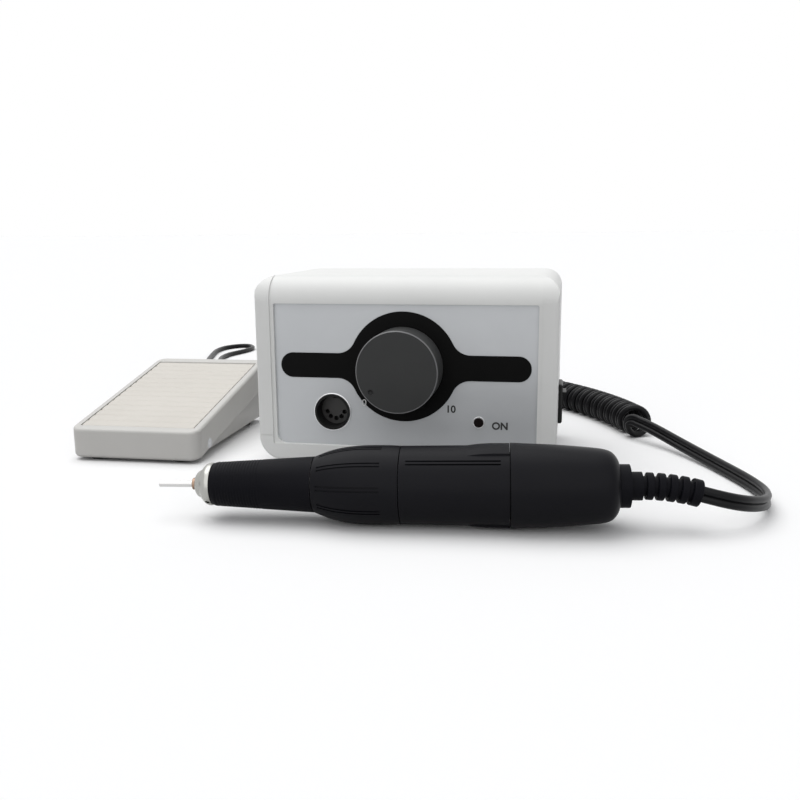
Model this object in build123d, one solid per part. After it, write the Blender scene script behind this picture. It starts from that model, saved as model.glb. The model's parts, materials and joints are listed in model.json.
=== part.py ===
from build123d import *
from math import atan, cos, degrees, hypot, pi, radians, sin, sqrt, tan
import os

os.makedirs("parts", exist_ok=True)

# All lengths are millimetres. X runs along the control box's front, Y away from the user,
# Z up from the table. The desk origin is the middle of the front panel's outer face at the
# table. The shift brings the middle of the whole set to X = Y = 0.
desk_shift_x = 19.95
desk_shift_y = -4.4

# Fits shared by every piece
running_gap = 0.03
free_gap = 0.3
overrun = 1.0

# Control box
case_width = 126.0
case_depth = 78.0
case_height = 78.5
foot_height = 3.0
bezel_depth = 2.0
case_wall = 2.5
case_top_radius = 8.0
case_bottom_radius = 10.0
case_cheek_radius = 10.5
case_brow_radius = 11.0
case_brow_step = 0.8
case_brow_margin = 1.6
case_back_radius = 5.0
case_edge_radius = 1.2
window_side = 8.0
window_crown = 11.4
window_sill = 7.3
window_bottom_radius = 4.0
window_top_radius = 0.8
tray_height = 11.0
seam_groove_depth = 0.35
seam_groove_height = 0.4
panel_thickness = 1.5
panel_top_grip = 2.2
rib_width = 1.6
rib_height = 3.0
post_radius = 3.6
post_inset_x = 15.0
post_inset_y = 11.0
screw_radius = 1.5
screw_head_radius = 2.8
screw_head_depth = 1.3
screw_grip = 6.0

# Rubber feet of the control box
foot_radius = 6.0
foot_seat_depth = 1.0
foot_inset_x = 23.0
foot_inset_y = 24.0

# Speed control on the front panel
knob_radius = 16.75
knob_front_radius = 16.6
knob_height = 13.7
knob_lift = 1.0
knob_chamfer = 0.35
knob_recess_radius = 8.0
knob_recess_depth = 5.0
dimple_radius = 1.15
dimple_reach = 13.4
dimple_angle = 218.0
pot_radius = 8.5
pot_depth = 9.0
pot_bush_radius = 3.5
pot_bush_length = 6.0
pot_nut_radius = 5.8
pot_nut_depth = 2.0
shaft_radius = 3.0
shaft_front_cover = 2.0
ring_inset = 7.0
ring_top_gap = 2.9
band_height = 10.5
band_end_gap = 2.5
band_fillet = 8.0
overlay_thickness = 0.3

# Five-contact round socket and lamp on the front panel, heights measured from the table
socket_inset = 32.5
socket_height = 24.5
socket_radius = 7.55
socket_bore_radius = 6.7
socket_seat_radius = 6.2
socket_proud = 1.2
socket_depth = 14.0
socket_mouth_depth = 6.5
socket_flange = 19.0
socket_flange_depth = 1.4
key_width = 2.2
key_depth = 1.3
contact_radius = 1.0
contact_circle_radius = 3.9
contact_first_angle = -164.0
contact_step_angle = 37.0
contact_count = 5
lamp_inset = 31.6
lamp_height = 21.9
lamp_radius = 2.0
lamp_proud = 1.0
lamp_flange_radius = 2.9
lamp_flange_depth = 1.2
lamp_body_depth = 6.0

# Electronics in the control box
board_core_gap = 2.0
board_y = 33.0
board_post_gap = 0.4
board_depth = 46.0
board_lift = 5.5
board_thickness = 1.6
board_post_radius = 3.0
board_post_inset = 4.0
capacitor_radius = 8.0
capacitor_height = 25.0
capacitor_pitch = 18.0
capacitor_edge_gap = 2.0
heatsink_width = 26.0
heatsink_height = 22.0
heatsink_plate = 2.0
heatsink_fin_depth = 8.0
heatsink_fin_count = 6
heatsink_edge_gap = 2.0
transformer_wall_gap = 7.5
transformer_y = 41.0
core_width_share = 1 / 3
core_depth = 16.0
core_height = 35.0
core_leg = 7.0
winding_depth = 26.0
bracket_sheet = 1.0
bracket_foot = 5.0

# Rear panel fittings
rear_drop = 26.5
inlet_inset = 35.0
inlet_width = 27.0
inlet_height = 20.0
inlet_depth = 16.0
inlet_flange_width = 31.0
inlet_flange_height = 23.5
inlet_flange_depth = 2.0
inlet_mouth_width = 24.5
inlet_mouth_height = 17.0
inlet_mouth_depth = 14.5
inlet_pin_width = 2.0
inlet_pin_height = 4.0
inlet_pin_length = 10.0
inlet_pin_pitch = 7.0
inlet_pin_rise = 1.0
earth_pin_rise = 4.0
switch_inlet_gap = 3.0
fuse_switch_gap = 4.0
fuse_flange_radius = 7.0
fuse_flange_depth = 2.0
fuse_cap_radius = 5.4
fuse_cap_height = 8.0
fuse_body_radius = 6.0
fuse_body_depth = 22.0
fuse_slot_width = 1.2
jack_inset = 33.0
jack_height = 24.0
jack_nut_radius = 5.5
jack_nut_depth = 2.0
jack_body_radius = 4.5
jack_body_depth = 16.0
jack_bore_radius = 1.85

# Rocker switches
switch_flange_width = 15.0
switch_flange_length = 17.4
switch_flange_depth = 1.8
switch_flange_chamfer = 0.6
switch_body_width = 12.8
switch_body_length = 15.8
switch_body_depth = 13.0
switch_well_width = 10.6
switch_well_length = 14.2
switch_well_depth = 7.2
rocker_width = 10.2
rocker_half_length = 6.1
rocker_pivot_depth = 3.5
rocker_crown = 1.6
rocker_end_rise = 2.4
rocker_waist_half = 5.2
rocker_waist_depth = 2.5
rocker_keel_half = 2.5
rocker_keel_depth = 5.5
rocker_pin_radius = 0.9
rocker_pin_reach = 0.7
rocker_tilt = 10.0
side_switch_y = 38.0
side_switch_height = 24.4

# Handpiece, measured along its axis from the seam between the grip and the lock ring
hand_x = -18.6
hand_y = -67.9
hand_yaw = 4.74
seam_gap = 0.3
grip_length = 36.0
grip_front_radius = 7.75
grip_rear_radius = 9.7
grip_nose_radius = 7.1
grip_nose_length = 2.0
grip_nose_share = 0.35
nose_length = 6.35
nose_tip_radius = 2.6
nose_rear_radius = 7.35
nose_outline_shares = ((0.06, 0.22), (0.2, 0.42), (0.38, 0.55), (0.5, 0.76), (0.62, 0.92))
nose_bore_radius = 2.3
nose_socket_radius = 3.4
nose_spigot_length = 3.0
nose_hole_radius = 0.8
nose_hole_depth = 1.6
nose_hole_count = 2
nose_hole_turn = 132
nose_hole_share = 0.83
tube_radius = 6.5
tube_bore_radius = 5.5
tube_collar_radius = 8.5
tube_spigot_radius = 7.5
tube_spigot_length = 5.0
ring_length = 30.2
ring_front_radius = 9.75
ring_rear_radius = 13.4
ring_belly_radius = 13.62
ring_belly_share = 0.78
ring_outline_shares = ((0.16, 0.375), (0.39, 0.75), (0.63, 0.945))
flute_count = 10
flute_width = 0.6
flute_pitch = 1.25
flute_turn = 9.0
flute_depth = 0.35
flute_start_share = 0.072
flute_end_share = 0.798
motor_length = 36.6
motor_front_radius = 13.4
motor_rear_radius = 13.75
motor_bore_radius = 11.4
fin_length = 17.5
fin_width = 13.0
fin_radius = 14.35
fin_outline_shares = ((0.35, 0.72),)
groove_start_share = 0.06
groove_end_share = 0.92
groove_width = 0.6
groove_depth = 0.4
groove_pitch = 1.35
groove_angle = 49.0
cap_length = 35.8
cap_front_radius = 14.5
cap_rear_radius = 8.0
cap_outline_shares = ((0.362, 0.088), (0.765, 0.257), (0.87, 0.34), (0.93, 0.46), (0.972, 0.68))
cap_spigot_length = 4.0
cap_spigot_wall = 1.0
cap_front_room = 8.5
cap_web = 6.0
cap_rear_room_radius = 8.5
cap_end_wall = 4.5
boot_flange_radius = 7.3
boot_flange_length = 3.6
boot_collar_radius = 4.8
boot_collar_length = 4.0
boot_stub_radius = 4.0
boot_core_radius = 3.4
boot_rib_radius = 4.6
boot_rib_count = 5
boot_rib_length = 2.4
boot_rib_pitch = 3.7
boot_rib_gap = 1.2
boot_last_rib_share = 1.3
boot_bend_radius = 72.0

# Rotating group inside the handpiece
bur_radius = 1.175
bur_length = 44.5
bur_reach = 12.3
bur_chamfer = 0.2
collet_radius = 1.9
collet_head_radius = 2.1
collet_head_length = 1.3
collet_length = 34.0
collet_slot_width = 0.4
collet_slot_length = 9.0
collet_slot_count = 3
spindle_radius = 3.0
spindle_front_inset = 4.0
spindle_rear = 26.0
spindle_wall_end = 3.0
dog_width = 1.7
dog_height = 3.6
dog_length = 3.0
bearing_radius = 5.5
bearing_width = 4.0
middle_bearing_station = 8.0
armature_station = 42.0
armature_length = 19.0
armature_radius = 8.2
armature_slot_count = 7
winding_radius = 6.8
winding_length = 3.0
magnet_length = 22.0
magnet_inner_radius = 8.7
magnet_gap_angle = 50.0
commutator_radius = 4.5
commutator_length = 7.0
commutator_station = 66.8
brush_width = 3.0
brush_height = 4.6
brush_holder_width = 6.0
brush_holder_length = 7.4

# Foot pedal: its local origin is the middle of the mat's front edge at the table
pedal_x = -119.9
pedal_y = -2.1
pedal_yaw = 1.13
mat_front_height = 15.45
mat_width = 52.9
mat_length = 82.8
mat_thickness = 1.2
mat_gap = 0.5
mat_groove_count = 13
mat_groove_width = 0.8
mat_groove_depth = 0.5
pedal_slope = 10.89
pedal_side_rim = 3.65
pedal_front_rim = 4.6
pedal_rear_rim = 7.0
skirt_height = 13.4
treadle_wall = 2.0
treadle_roof = 2.6
treadle_corner_radius = 5.0
treadle_edge_radius = 1.4
pivot_back = 8.8
pivot_height = 6.7
pivot_radius = 2.35
pivot_boss_reach = 5.5
pivot_boss_half = 4.2
base_side_gap = 0.5
base_front_gap = 1.2
base_rear_gap = 0.6
base_lift = 2.8
base_floor = 2.2
base_wall = 2.0
base_overlap = 2.0
pad_radius = 5.2
pad_seat_depth = 0.8
pad_x = 19.5
pad_front = 4.5
pad_rear = 76.0
spring_back = 60.0
spring_radius = 4.0
spring_wire_radius = 0.5
spring_turns = 7
spring_end_share = 0.35
spring_top = 22.0
spring_seat_radius = 5.6
spring_spigot_radius = 2.9
spring_spigot_height = 3.0
plunger_back = 24.0
plunger_radius = 1.4
plunger_rise = 2.0
plunger_sunk = 2.0
plunger_boss_radius = 3.0
microswitch_width = 6.4
microswitch_length = 16.0
microswitch_height = 7.6
gland_x = -16.0
gland_radius = 2.8
gland_neck_radius = 2.2
gland_length = 4.0
gland_rise = 3.8
gland_flange_depth = 1.0

# Handpiece cord: a flat twin cord, whose tube has the cord's width
cord_radius = 2.8
curl_outer_radius = 7.5
curl_pitch = 7.3
curl_turns = 30
curl_lead_turns = 1.25
curl_lead_pitch = 10.8
curl_start = (102.2, 73.0)
curl_start_heading = 105.2
curl_bend_radius = 182.0
plug_radius = 7.75
plug_length = 27.0
plug_tail_radius = 4.2
plug_tail_length = 9.0
plug_nose_radius = 6.6
plug_nose_length = 9.0
plug_pin_radius = 0.7
plug_place = (-63.97, 140.0)

# Pedal cord
pedal_cord_radius = 1.75
hank_place = (5.0, 128.0)
hank_radius = 24.0
hank_turns = 6
hank_step = 4.0
hank_climb_turns = 0.5
jack_plug_radius = 4.4
jack_plug_length = 22.0
jack_plug_tail_radius = 2.6
jack_plug_tail_length = 7.0
jack_pin_radius = 1.75
jack_pin_length = 14.0

# Straight runs where a cord leaves a fixed piece or a wound part, in cord radii
boot_run = 4.0
curl_run = 5.0
plug_run = 5.0
gland_run = 9.0
hank_run_in = 22.0
hank_run_out = 7.0
jack_run = 6.0
arc_share = 0.45

# Hand-chosen routes over the table, in the desk frame
hand_cord_points = (
    (134.0, -44.0, 5.6),
    (138.8, -31.0, 3.6),
    (139.8, -17.0, 2.9),
    (137.5, -2.0, 2.9),
    (132.5, 13.0, 2.9),
    (127.5, 28.5, 3.2),
    (119.5, 42.0, 5.2),
)
hand_lead_points = (
    (-101.0, 203.0, 4.2),
    (-113.5, 186.0, 2.9),
    (-113.0, 164.0, 2.9),
    (-99.5, 147.5, 3.4),
)
pedal_cord_points = (
    (-138.0, 134.0, 1.8),
    (-152.0, 176.0, 1.8),
    (-180.0, 222.0, 1.8),
    (-205.0, 268.0, 1.8),
    (-217.0, 312.0, 1.8),
    (-226.0, 340.0, 1.8),
    (-225.0, 364.0, 1.8),
    (-208.0, 376.0, 1.8),
    (-192.0, 362.0, 1.8),
    (-191.0, 338.0, 1.8),
    (-202.0, 310.0, 1.8),
    (-199.0, 276.0, 1.8),
    (-174.0, 236.0, 1.8),
    (-144.0, 190.0, 1.8),
    (-112.0, 150.0, 1.8),
    (-74.0, 120.0, 1.8),
)
pedal_lead_points = (
    (37.0, 107.0, 3.4),
    (50.0, 115.0, 1.9),
    (56.0, 129.5, 2.6),
    (50.5, 143.0, 8.0),
    (37.5, 142.5, 16.0),
    (30.5, 128.5, 22.3),
)

# Worked out from the sizes above
case_front = -bezel_depth
case_rear = case_front + case_depth
case_bottom = foot_height
case_top = case_bottom + case_height
half_width = case_width / 2
window_width = case_width - 2 * window_side
band_length = window_width - 2 * band_end_gap
socket_x = socket_inset - half_width
lamp_x = half_width - lamp_inset
core_width = core_width_share * case_width
transformer_reach = core_width / 2 + bracket_sheet + bracket_foot
transformer_x = case_wall + transformer_wall_gap + transformer_reach - half_width
inlet_x = half_width - inlet_inset
mains_switch_x = inlet_x - (inlet_flange_width + switch_flange_width) / 2 - switch_inlet_gap
fuse_x = mains_switch_x - switch_flange_width / 2 - fuse_flange_radius - fuse_switch_gap
jack_x = half_width - jack_inset
seam_height = case_bottom + tray_height
floor_top = case_bottom + case_wall
window_bottom = case_bottom + window_sill
window_top = case_top - window_crown
window_height = window_top - window_bottom
ring_radius = window_height / 2 - ring_inset
dial_height = window_top - ring_radius - ring_top_gap
rear_height = case_top - rear_drop
brow_half = window_width / 2 + case_brow_margin
brow_front = case_front + case_brow_step
panel_top = window_top + panel_top_grip
rear_face = case_rear - bezel_depth
rear_inner = rear_face - panel_thickness
post_x = half_width - post_inset_x
board_left = transformer_x + core_width / 2 + bracket_sheet + board_core_gap
board_right = post_x - post_radius - board_post_gap
board_x = (board_left + board_right) / 2
board_width = board_right - board_left
post_front_y = case_front + post_inset_y
post_rear_y = case_rear - post_inset_y
ring_end = ring_length
motor_start = ring_end + seam_gap
motor_end = motor_start + motor_length
cap_start = motor_end + seam_gap
cap_end = cap_start + cap_length
boot_bend_start = cap_end + boot_flange_length + boot_collar_length
nose_rear = -grip_length
nose_front = nose_rear - nose_length
collet_front = nose_front - collet_head_length
bur_front = collet_front - bur_reach
spindle_front = nose_front + spindle_front_inset
belly_station = ring_belly_share * ring_length
pedal_rise = tan(radians(pedal_slope))
treadle_half = mat_width / 2 + pedal_side_rim
treadle_front = -pedal_front_rim
treadle_rear = mat_length + pedal_rear_rim
base_half = treadle_half - treadle_wall - base_side_gap
base_front = treadle_front + treadle_wall + base_front_gap
base_rear = treadle_rear - treadle_wall - base_rear_gap
base_top = base_lift + base_floor
curl_radius = curl_outer_radius - cord_radius

desk = Pos(desk_shift_x, desk_shift_y, 0)
pedal_frame = desk * Pos(pedal_x, pedal_y, 0) * Rot(0, 0, pedal_yaw)


def block(x0, x1, y0, y1, z0, z1):
    """A box between two corners."""
    return Pos((x0 + x1) / 2, (y0 + y1) / 2, (z0 + z1) / 2) * Box(x1 - x0, y1 - y0, z1 - z0)


def rod_x(radius, x0, x1, y=0, z=0):
    """A cylinder along X between two stations."""
    return Pos((x0 + x1) / 2, y, z) * Rot(0, 90, 0) * Cylinder(radius, x1 - x0)


def rod_y(radius, y0, y1, x=0, z=0):
    """A cylinder along Y between two stations."""
    return Pos(x, (y0 + y1) / 2, z) * Rot(90, 0, 0) * Cylinder(radius, y1 - y0)


def rod_z(radius, z0, z1, x=0, y=0):
    """An upright cylinder between two heights."""
    return Pos(x, y, (z0 + z1) / 2) * Cylinder(radius, z1 - z0)


def slab_y(sketch, y0, y1):
    """A sketch of X and Z made solid from y0 to y1."""
    return extrude(Plane.XZ.offset(-y1) * sketch, amount=y1 - y0)


def slab_x(sketch, x0, x1):
    """A sketch of Y and Z made solid from x0 to x1."""
    return extrude(Plane.YZ.offset(x0) * sketch, amount=x1 - x0)


def turned(outer, bore):
    """A piece turned about the handpiece axis from its outer edges, front to rear, and a bore."""
    front = outer[0] @ 0
    rear = outer[-1] @ 1
    closing = [
        Line((front.X, bore), (front.X, front.Y)),
        Line((rear.X, rear.Y), (rear.X, bore)),
        Line((rear.X, bore), (front.X, bore)),
    ]
    return revolve(make_face([*outer, *closing]), axis=Axis.X)


def smooth_edge(front, rear, front_radius, rear_radius, shares, level_end=False):
    """A curve from front to rear through shares of its length and of its rise."""
    points = [(front, front_radius)]
    for along, up in shares:
        station = front + along * (rear - front)
        points.append((station, front_radius + up * (rear_radius - front_radius)))
    points.append((rear, rear_radius))
    if not level_end:
        return Spline(points)
    slope = (points[1][1] - points[0][1]) / (points[1][0] - points[0][0])
    return Spline(points, tangents=[(1, slope), (1, 0)])


def biarc_wire(points, tangents, lead_in, lead_out):
    """Tangent arcs, two for each pair of points, with straight ends of the given lengths."""
    edges = [Line(points[0] - tangents[0] * lead_in, points[0])]
    for p0, p1, t0, t1 in zip(points, points[1:], tangents, tangents[1:]):
        chord = p1 - p0
        spread = 2 * (1 - t0.dot(t1))
        along = chord.dot(t0 + t1)
        reach = (sqrt(along * along + spread * chord.dot(chord)) - along) / spread
        q0 = p0 + t0 * reach
        q1 = p1 - t1 * reach
        joint = (q0 + q1) * 0.5
        edges.append(TangentArc(p0, joint, tangent=t0))
        edges.append(TangentArc(joint, p1, tangent=(q1 - q0).normalized()))
    edges.append(Line(points[-1], points[-1] + tangents[-1] * lead_out))
    return Wire(edges)


def least_gap(place, start, stop, radius, name):
    """Prints the least gap of a wound tube to itself, measured on points of its path."""
    per_turn = 24
    count = round((stop - start) * per_turn)
    points = [place(start + (stop - start) * i / count) for i in range(count + 1)]
    apart = round(per_turn * 0.6)
    gap = min(
        (points[j] - points[i]).length
        for i in range(len(points))
        for j in range(i + apart, min(i + 4 * per_turn * 2, len(points)))
    )
    print(name, "least gap to itself", round(gap - 2 * radius, 2), "mm")


def wound(place, start, stop, radius, lead, name):
    """A tube along place(turn) from the first turn to the last, on quarter-turn biarcs."""
    quarters = round((stop - start) * 4)
    turns = [start + (stop - start) * i / quarters for i in range(quarters + 1)]
    nudge = 1e-4
    points = [place(turn) for turn in turns]
    tangents = [(place(turn + nudge) - place(turn - nudge)).normalized() for turn in turns]
    wire = biarc_wire(points, tangents, lead, lead)
    least_gap(place, start, stop, radius, name)
    print(name, "length", round(wire.length), "mm")
    return sweep(Plane(origin=wire @ 0, z_dir=wire % 0) * Circle(radius), path=wire)


def cord_tube(points, radius, name):
    """A plain tube along straight runs joined by tangent arcs as large as the runs allow."""
    points = [Vector(*point) for point in points]
    runs = [b - a for a, b in zip(points, points[1:])]
    radii = []
    for before, after in zip(runs, runs[1:]):
        half_turn = radians(before.get_angle(after)) / 2
        radii.append(arc_share * min(before.length, after.length) / tan(half_turn))
    path = FilletPolyline(*points, radius=radii)
    tube = sweep(Plane(origin=path @ 0, z_dir=path % 0) * Circle(radius), path=path)
    expected = pi * radius * radius * path.length
    print(name, "runs", [round(run.length) for run in runs], "radii", [round(r) for r in radii])
    print(name, "length", round(path.length), "volume share", round(tube.volume / expected, 3))
    return tube


def smooth_step(share):
    """A share that leaves 0 and reaches 1 without a kink."""
    share = min(max(share, 0), 1)
    return share * share * (3 - 2 * share)


def write(node, shape):
    """Writes one sub-part."""
    export_step(shape, f"parts/{node}.step")


# Control box housing


def case_profile(inset):
    """The box seen from the front, drawn smaller all round by an inset."""
    low = case_bottom + inset
    high = case_top - inset
    face = Pos(0, (low + high) / 2) * Rectangle(case_width - 2 * inset, high - low)
    corners = face.vertices().sort_by(Axis.Y)
    face = fillet(corners[2:], max(case_top_radius - inset, case_edge_radius))
    corners = face.vertices().sort_by(Axis.Y)
    return fillet(corners[:2], case_bottom_radius - inset)


def brow_profile(front, rear, top, radius):
    """The box seen from the side, rounded above its front."""
    face = Pos((front + rear) / 2, (case_bottom + top) / 2) * Rectangle(rear - front, top - case_bottom)
    corners = face.vertices().sort_by(Axis.Y)[2:].sort_by(Axis.X)
    return fillet(corners[:1], radius)


def cheek_profile():
    """The box seen from the side at its cheeks, rounded above its front and its back."""
    face = brow_profile(case_front, case_rear, case_top, case_cheek_radius)
    corners = face.vertices().sort_by(Axis.Y)[2:].sort_by(Axis.X)
    return fillet(corners[-1:], case_back_radius)


def panel_room(gap, top):
    """The slot for the front panel, drawn smaller all round by a gap and cut off at a height."""
    room = slab_y(case_profile(case_wall + gap), 0, panel_thickness)
    return room & block(-half_width, half_width, -overrun, panel_thickness + overrun, case_bottom, top)


def window_profile():
    """The opening in the bezel, rounded below and nearly square above."""
    face = Pos(0, (window_bottom + window_top) / 2) * Rectangle(window_width, window_height)
    corners = face.vertices().sort_by(Axis.Y)
    face = fillet(corners[2:], window_top_radius)
    corners = face.vertices().sort_by(Axis.Y)
    return fillet(corners[:2], window_bottom_radius)


def case_shell():
    """The whole housing before it is parted: walls, both windows and the panel ribs."""
    outer = slab_y(case_profile(0), case_front, case_rear)
    sharp = outer.edges().group_by(Axis.Y)[0] + outer.edges().group_by(Axis.Y)[-1]
    outer = fillet(sharp, case_edge_radius)
    outer &= slab_x(cheek_profile(), -half_width, half_width)
    brow = brow_profile(brow_front, case_rear, case_top, case_brow_radius)
    middle = block(-brow_half, brow_half, case_front - overrun, case_brow_radius,
                   window_bottom, case_top + overrun)
    outer -= middle - slab_x(brow, -brow_half, brow_half)
    inner_top = case_top - case_wall
    inside = brow_profile(0, rear_face, inner_top, case_brow_radius - case_wall)
    room = slab_y(case_profile(case_wall), 0, rear_face)
    room &= slab_x(inside, -half_width, half_width)
    room += panel_room(0, panel_top)
    shell = outer - room
    for y0, y1 in ((case_front - overrun, overrun), (rear_face - overrun, case_rear + overrun)):
        shell -= slab_y(window_profile(), y0, y1)
    ribs = slab_y(case_profile(case_wall), panel_thickness, panel_thickness + rib_width)
    ribs += slab_y(case_profile(case_wall), rear_inner - rib_width, rear_inner)
    ribs -= slab_y(case_profile(case_wall + rib_height), 0, rear_face)
    ribs += block(-brow_half, brow_half, panel_thickness, panel_thickness + rib_width,
                  window_top, inner_top)
    return shell + (ribs & outer)


def screw_places():
    """The four screw axes under the box."""
    return [(x, y) for x in (-post_x, post_x) for y in (post_front_y, post_rear_y)]


def foot_places():
    """The four feet under the box."""
    x = half_width - foot_inset_x
    return [(side * x, y) for side in (-1, 1)
            for y in (case_front + foot_inset_y, case_rear - foot_inset_y)]


def board_places():
    """The four posts that carry the circuit board."""
    x = board_width / 2 - board_post_inset
    y = board_depth / 2 - board_post_inset
    return [(board_x + i * x, board_y + j * y) for i in (-1, 1) for j in (-1, 1)]


def side_switch_cut(margin):
    """The hole for the direction switch through the right-hand wall."""
    half_y = switch_body_width / 2 + margin
    half_z = switch_body_length / 2 + margin
    return block(half_width - case_wall - rib_height, half_width + overrun,
                 side_switch_y - half_y, side_switch_y + half_y,
                 side_switch_height - half_z, side_switch_height + half_z)


def make_case_cover(shell):
    """The upper moulding with its four screw posts."""
    cover = shell & block(-case_width, case_width, case_front - overrun, case_rear + overrun,
                          seam_height, case_top + overrun)
    for x, y in screw_places():
        post = rod_z(post_radius, seam_height, case_top - case_wall, x, y)
        cover += post - rod_z(screw_radius, seam_height, seam_height + screw_grip, x, y)
    return cover - side_switch_cut(0)


def make_case_base(shell):
    """The tray with a shadow groove at its seam, screw bosses, foot seats and board posts."""
    base = shell & block(-case_width, case_width, case_front - overrun, case_rear + overrun,
                         case_bottom - overrun, seam_height)
    groove = block(-case_width, case_width, case_front - overrun, case_rear + overrun,
                   seam_height - seam_groove_height, seam_height)
    groove -= block(-half_width + seam_groove_depth, half_width - seam_groove_depth,
                    case_front + seam_groove_depth, case_rear - seam_groove_depth,
                    seam_height - seam_groove_height, seam_height)
    base -= groove
    for x, y in screw_places():
        base += rod_z(post_radius, case_bottom + case_wall / 2, seam_height, x, y)
        base -= rod_z(screw_radius, case_bottom - overrun, seam_height + overrun, x, y)
        base -= rod_z(screw_head_radius, case_bottom - overrun, case_bottom + screw_head_depth, x, y)
    for x, y in foot_places():
        base -= rod_z(foot_radius, case_bottom - overrun, case_bottom + foot_seat_depth, x, y)
    for x, y in board_places():
        base += rod_z(board_post_radius, floor_top - case_wall / 2, floor_top + board_lift, x, y)
    return base


def make_screws():
    """Four identical screws, seated in the tray's bosses and held in the cover's posts."""
    screws = []
    top = seam_height + screw_grip
    for x, y in screw_places():
        head = rod_z(screw_head_radius, case_bottom, case_bottom + screw_head_depth, x, y)
        slot = block(x - screw_head_radius, x + screw_head_radius,
                     y - screw_radius / 4, y + screw_radius / 4,
                     case_bottom - overrun, case_bottom + screw_head_depth / 2)
        screws.append(head + rod_z(screw_radius, case_bottom, top, x, y) - slot)
    return Compound(screws)


def make_panel(y0, top, holes):
    """A flat panel that fills the case between the bezel and the ribs."""
    plate = panel_room(free_gap / 2, top - free_gap / 2)
    plate = Pos(0, y0, 0) * plate
    for hole in holes:
        plate -= hole
    return plate


def make_overlay():
    """The dark printed film: a ring about the knob and a round-ended band to each side."""
    band = RectangleRounded(band_length, band_height, band_height / 2 - running_gap)
    film = band + Circle(ring_radius)
    inner = [v for v in film.vertices() if abs(hypot(v.X, v.Y) - ring_radius) < running_gap]
    film = fillet(inner, band_fillet)
    film -= Circle(pot_bush_radius + free_gap)
    film -= Pos(socket_x, socket_height - dial_height) * Circle(socket_radius + free_gap)
    return slab_y(Pos(0, dial_height) * film, -overlay_thickness, 0)


# Speed control


def make_speed_knob():
    """The knob with its chamfered face, pointer dimple and hollow back."""
    back = -overlay_thickness - knob_lift
    face = back - knob_height
    edges = [
        Line((face, 0), (face, knob_front_radius - knob_chamfer)),
        Line((face, knob_front_radius - knob_chamfer), (face + knob_chamfer, knob_front_radius)),
        Line((face + knob_chamfer, knob_front_radius), (back, knob_radius)),
        Line((back, knob_radius), (back, 0)),
        Line((back, 0), (face, 0)),
    ]
    knob = Rot(0, 0, 90) * revolve(make_face(edges), axis=Axis.X)
    knob -= rod_y(knob_recess_radius, back - knob_recess_depth, back + overrun)
    knob -= rod_y(shaft_radius, face + shaft_front_cover, back + overrun)
    turn = radians(dimple_angle)
    spot = Pos(dimple_reach * cos(turn), face, dimple_reach * sin(turn))
    knob -= spot * Sphere(dimple_radius)
    return Pos(0, 0, dial_height) * knob


def make_pot_shaft():
    """The shaft that the knob grips and the potentiometer turns on."""
    front = -overlay_thickness - knob_lift - knob_height + shaft_front_cover
    return rod_y(shaft_radius, front, panel_thickness + pot_depth / 2, 0, dial_height)


def make_speed_pot():
    """The potentiometer's body and threaded bush."""
    pot = rod_y(pot_radius, panel_thickness, panel_thickness + pot_depth, 0, dial_height)
    pot += rod_y(pot_bush_radius, -pot_bush_length + panel_thickness, panel_thickness, 0, dial_height)
    bore = shaft_radius + running_gap
    return pot - rod_y(bore, -pot_bush_length, panel_thickness + pot_depth / 2 + free_gap, 0, dial_height)


def make_pot_nut():
    """The hexagonal nut that clamps the potentiometer to the panel."""
    nut = RegularPolygon(pot_nut_radius, 6) - Circle(pot_bush_radius)
    front = -overlay_thickness - pot_nut_depth
    return slab_y(Pos(0, dial_height) * nut, front, -overlay_thickness)


# Socket and lamp on the front panel


def make_socket_shell():
    """The round socket's barrel, keyway and panel flange."""
    half = socket_flange / 2
    back = panel_thickness + socket_flange_depth
    shell = rod_y(socket_radius, -socket_proud, socket_depth, socket_x, socket_height)
    shell += block(socket_x - half, socket_x + half, panel_thickness, back,
                   socket_height - half, socket_height + half)
    face = -socket_proud + socket_mouth_depth
    shell -= rod_y(socket_bore_radius, -socket_proud - overrun, face, socket_x, socket_height)
    shell -= rod_y(socket_seat_radius, face - overrun, socket_depth + overrun, socket_x, socket_height)
    return shell


def make_socket_insert():
    """The contact carrier with its five contact holes and the key rib."""
    face = -socket_proud + socket_mouth_depth
    insert = rod_y(socket_seat_radius, face, socket_depth, socket_x, socket_height)
    for i in range(contact_count):
        turn = radians(contact_first_angle + i * contact_step_angle)
        x = socket_x + contact_circle_radius * cos(turn)
        z = socket_height + contact_circle_radius * sin(turn)
        insert -= rod_y(contact_radius, face - overrun, face + contact_radius * 4, x, z)
    top = socket_height + socket_seat_radius
    insert -= block(socket_x - key_width / 2, socket_x + key_width / 2, face - overrun,
                    face + key_depth, top - key_depth, top + overrun)
    return insert


def make_power_led():
    """The lamp: a domed lens in the panel with its flange and body behind."""
    lens = rod_y(lamp_radius, -lamp_proud / 2, panel_thickness, lamp_x, lamp_height)
    dome = Pos(lamp_x, -lamp_proud / 2, lamp_height) * Sphere(lamp_radius)
    lens += dome & block(lamp_x - lamp_radius, lamp_x + lamp_radius, -lamp_proud, 0,
                         lamp_height - lamp_radius, lamp_height + lamp_radius)
    behind = panel_thickness + lamp_flange_depth
    lens += rod_y(lamp_flange_radius, panel_thickness, behind, lamp_x, lamp_height)
    return lens + rod_y(lamp_radius, behind, behind + lamp_body_depth, lamp_x, lamp_height)


# Electronics


def make_main_board():
    """The circuit board on its four posts."""
    low = floor_top + board_lift
    return block(board_left, board_right,
                 board_y - board_depth / 2, board_y + board_depth / 2,
                 low, low + board_thickness)


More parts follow.
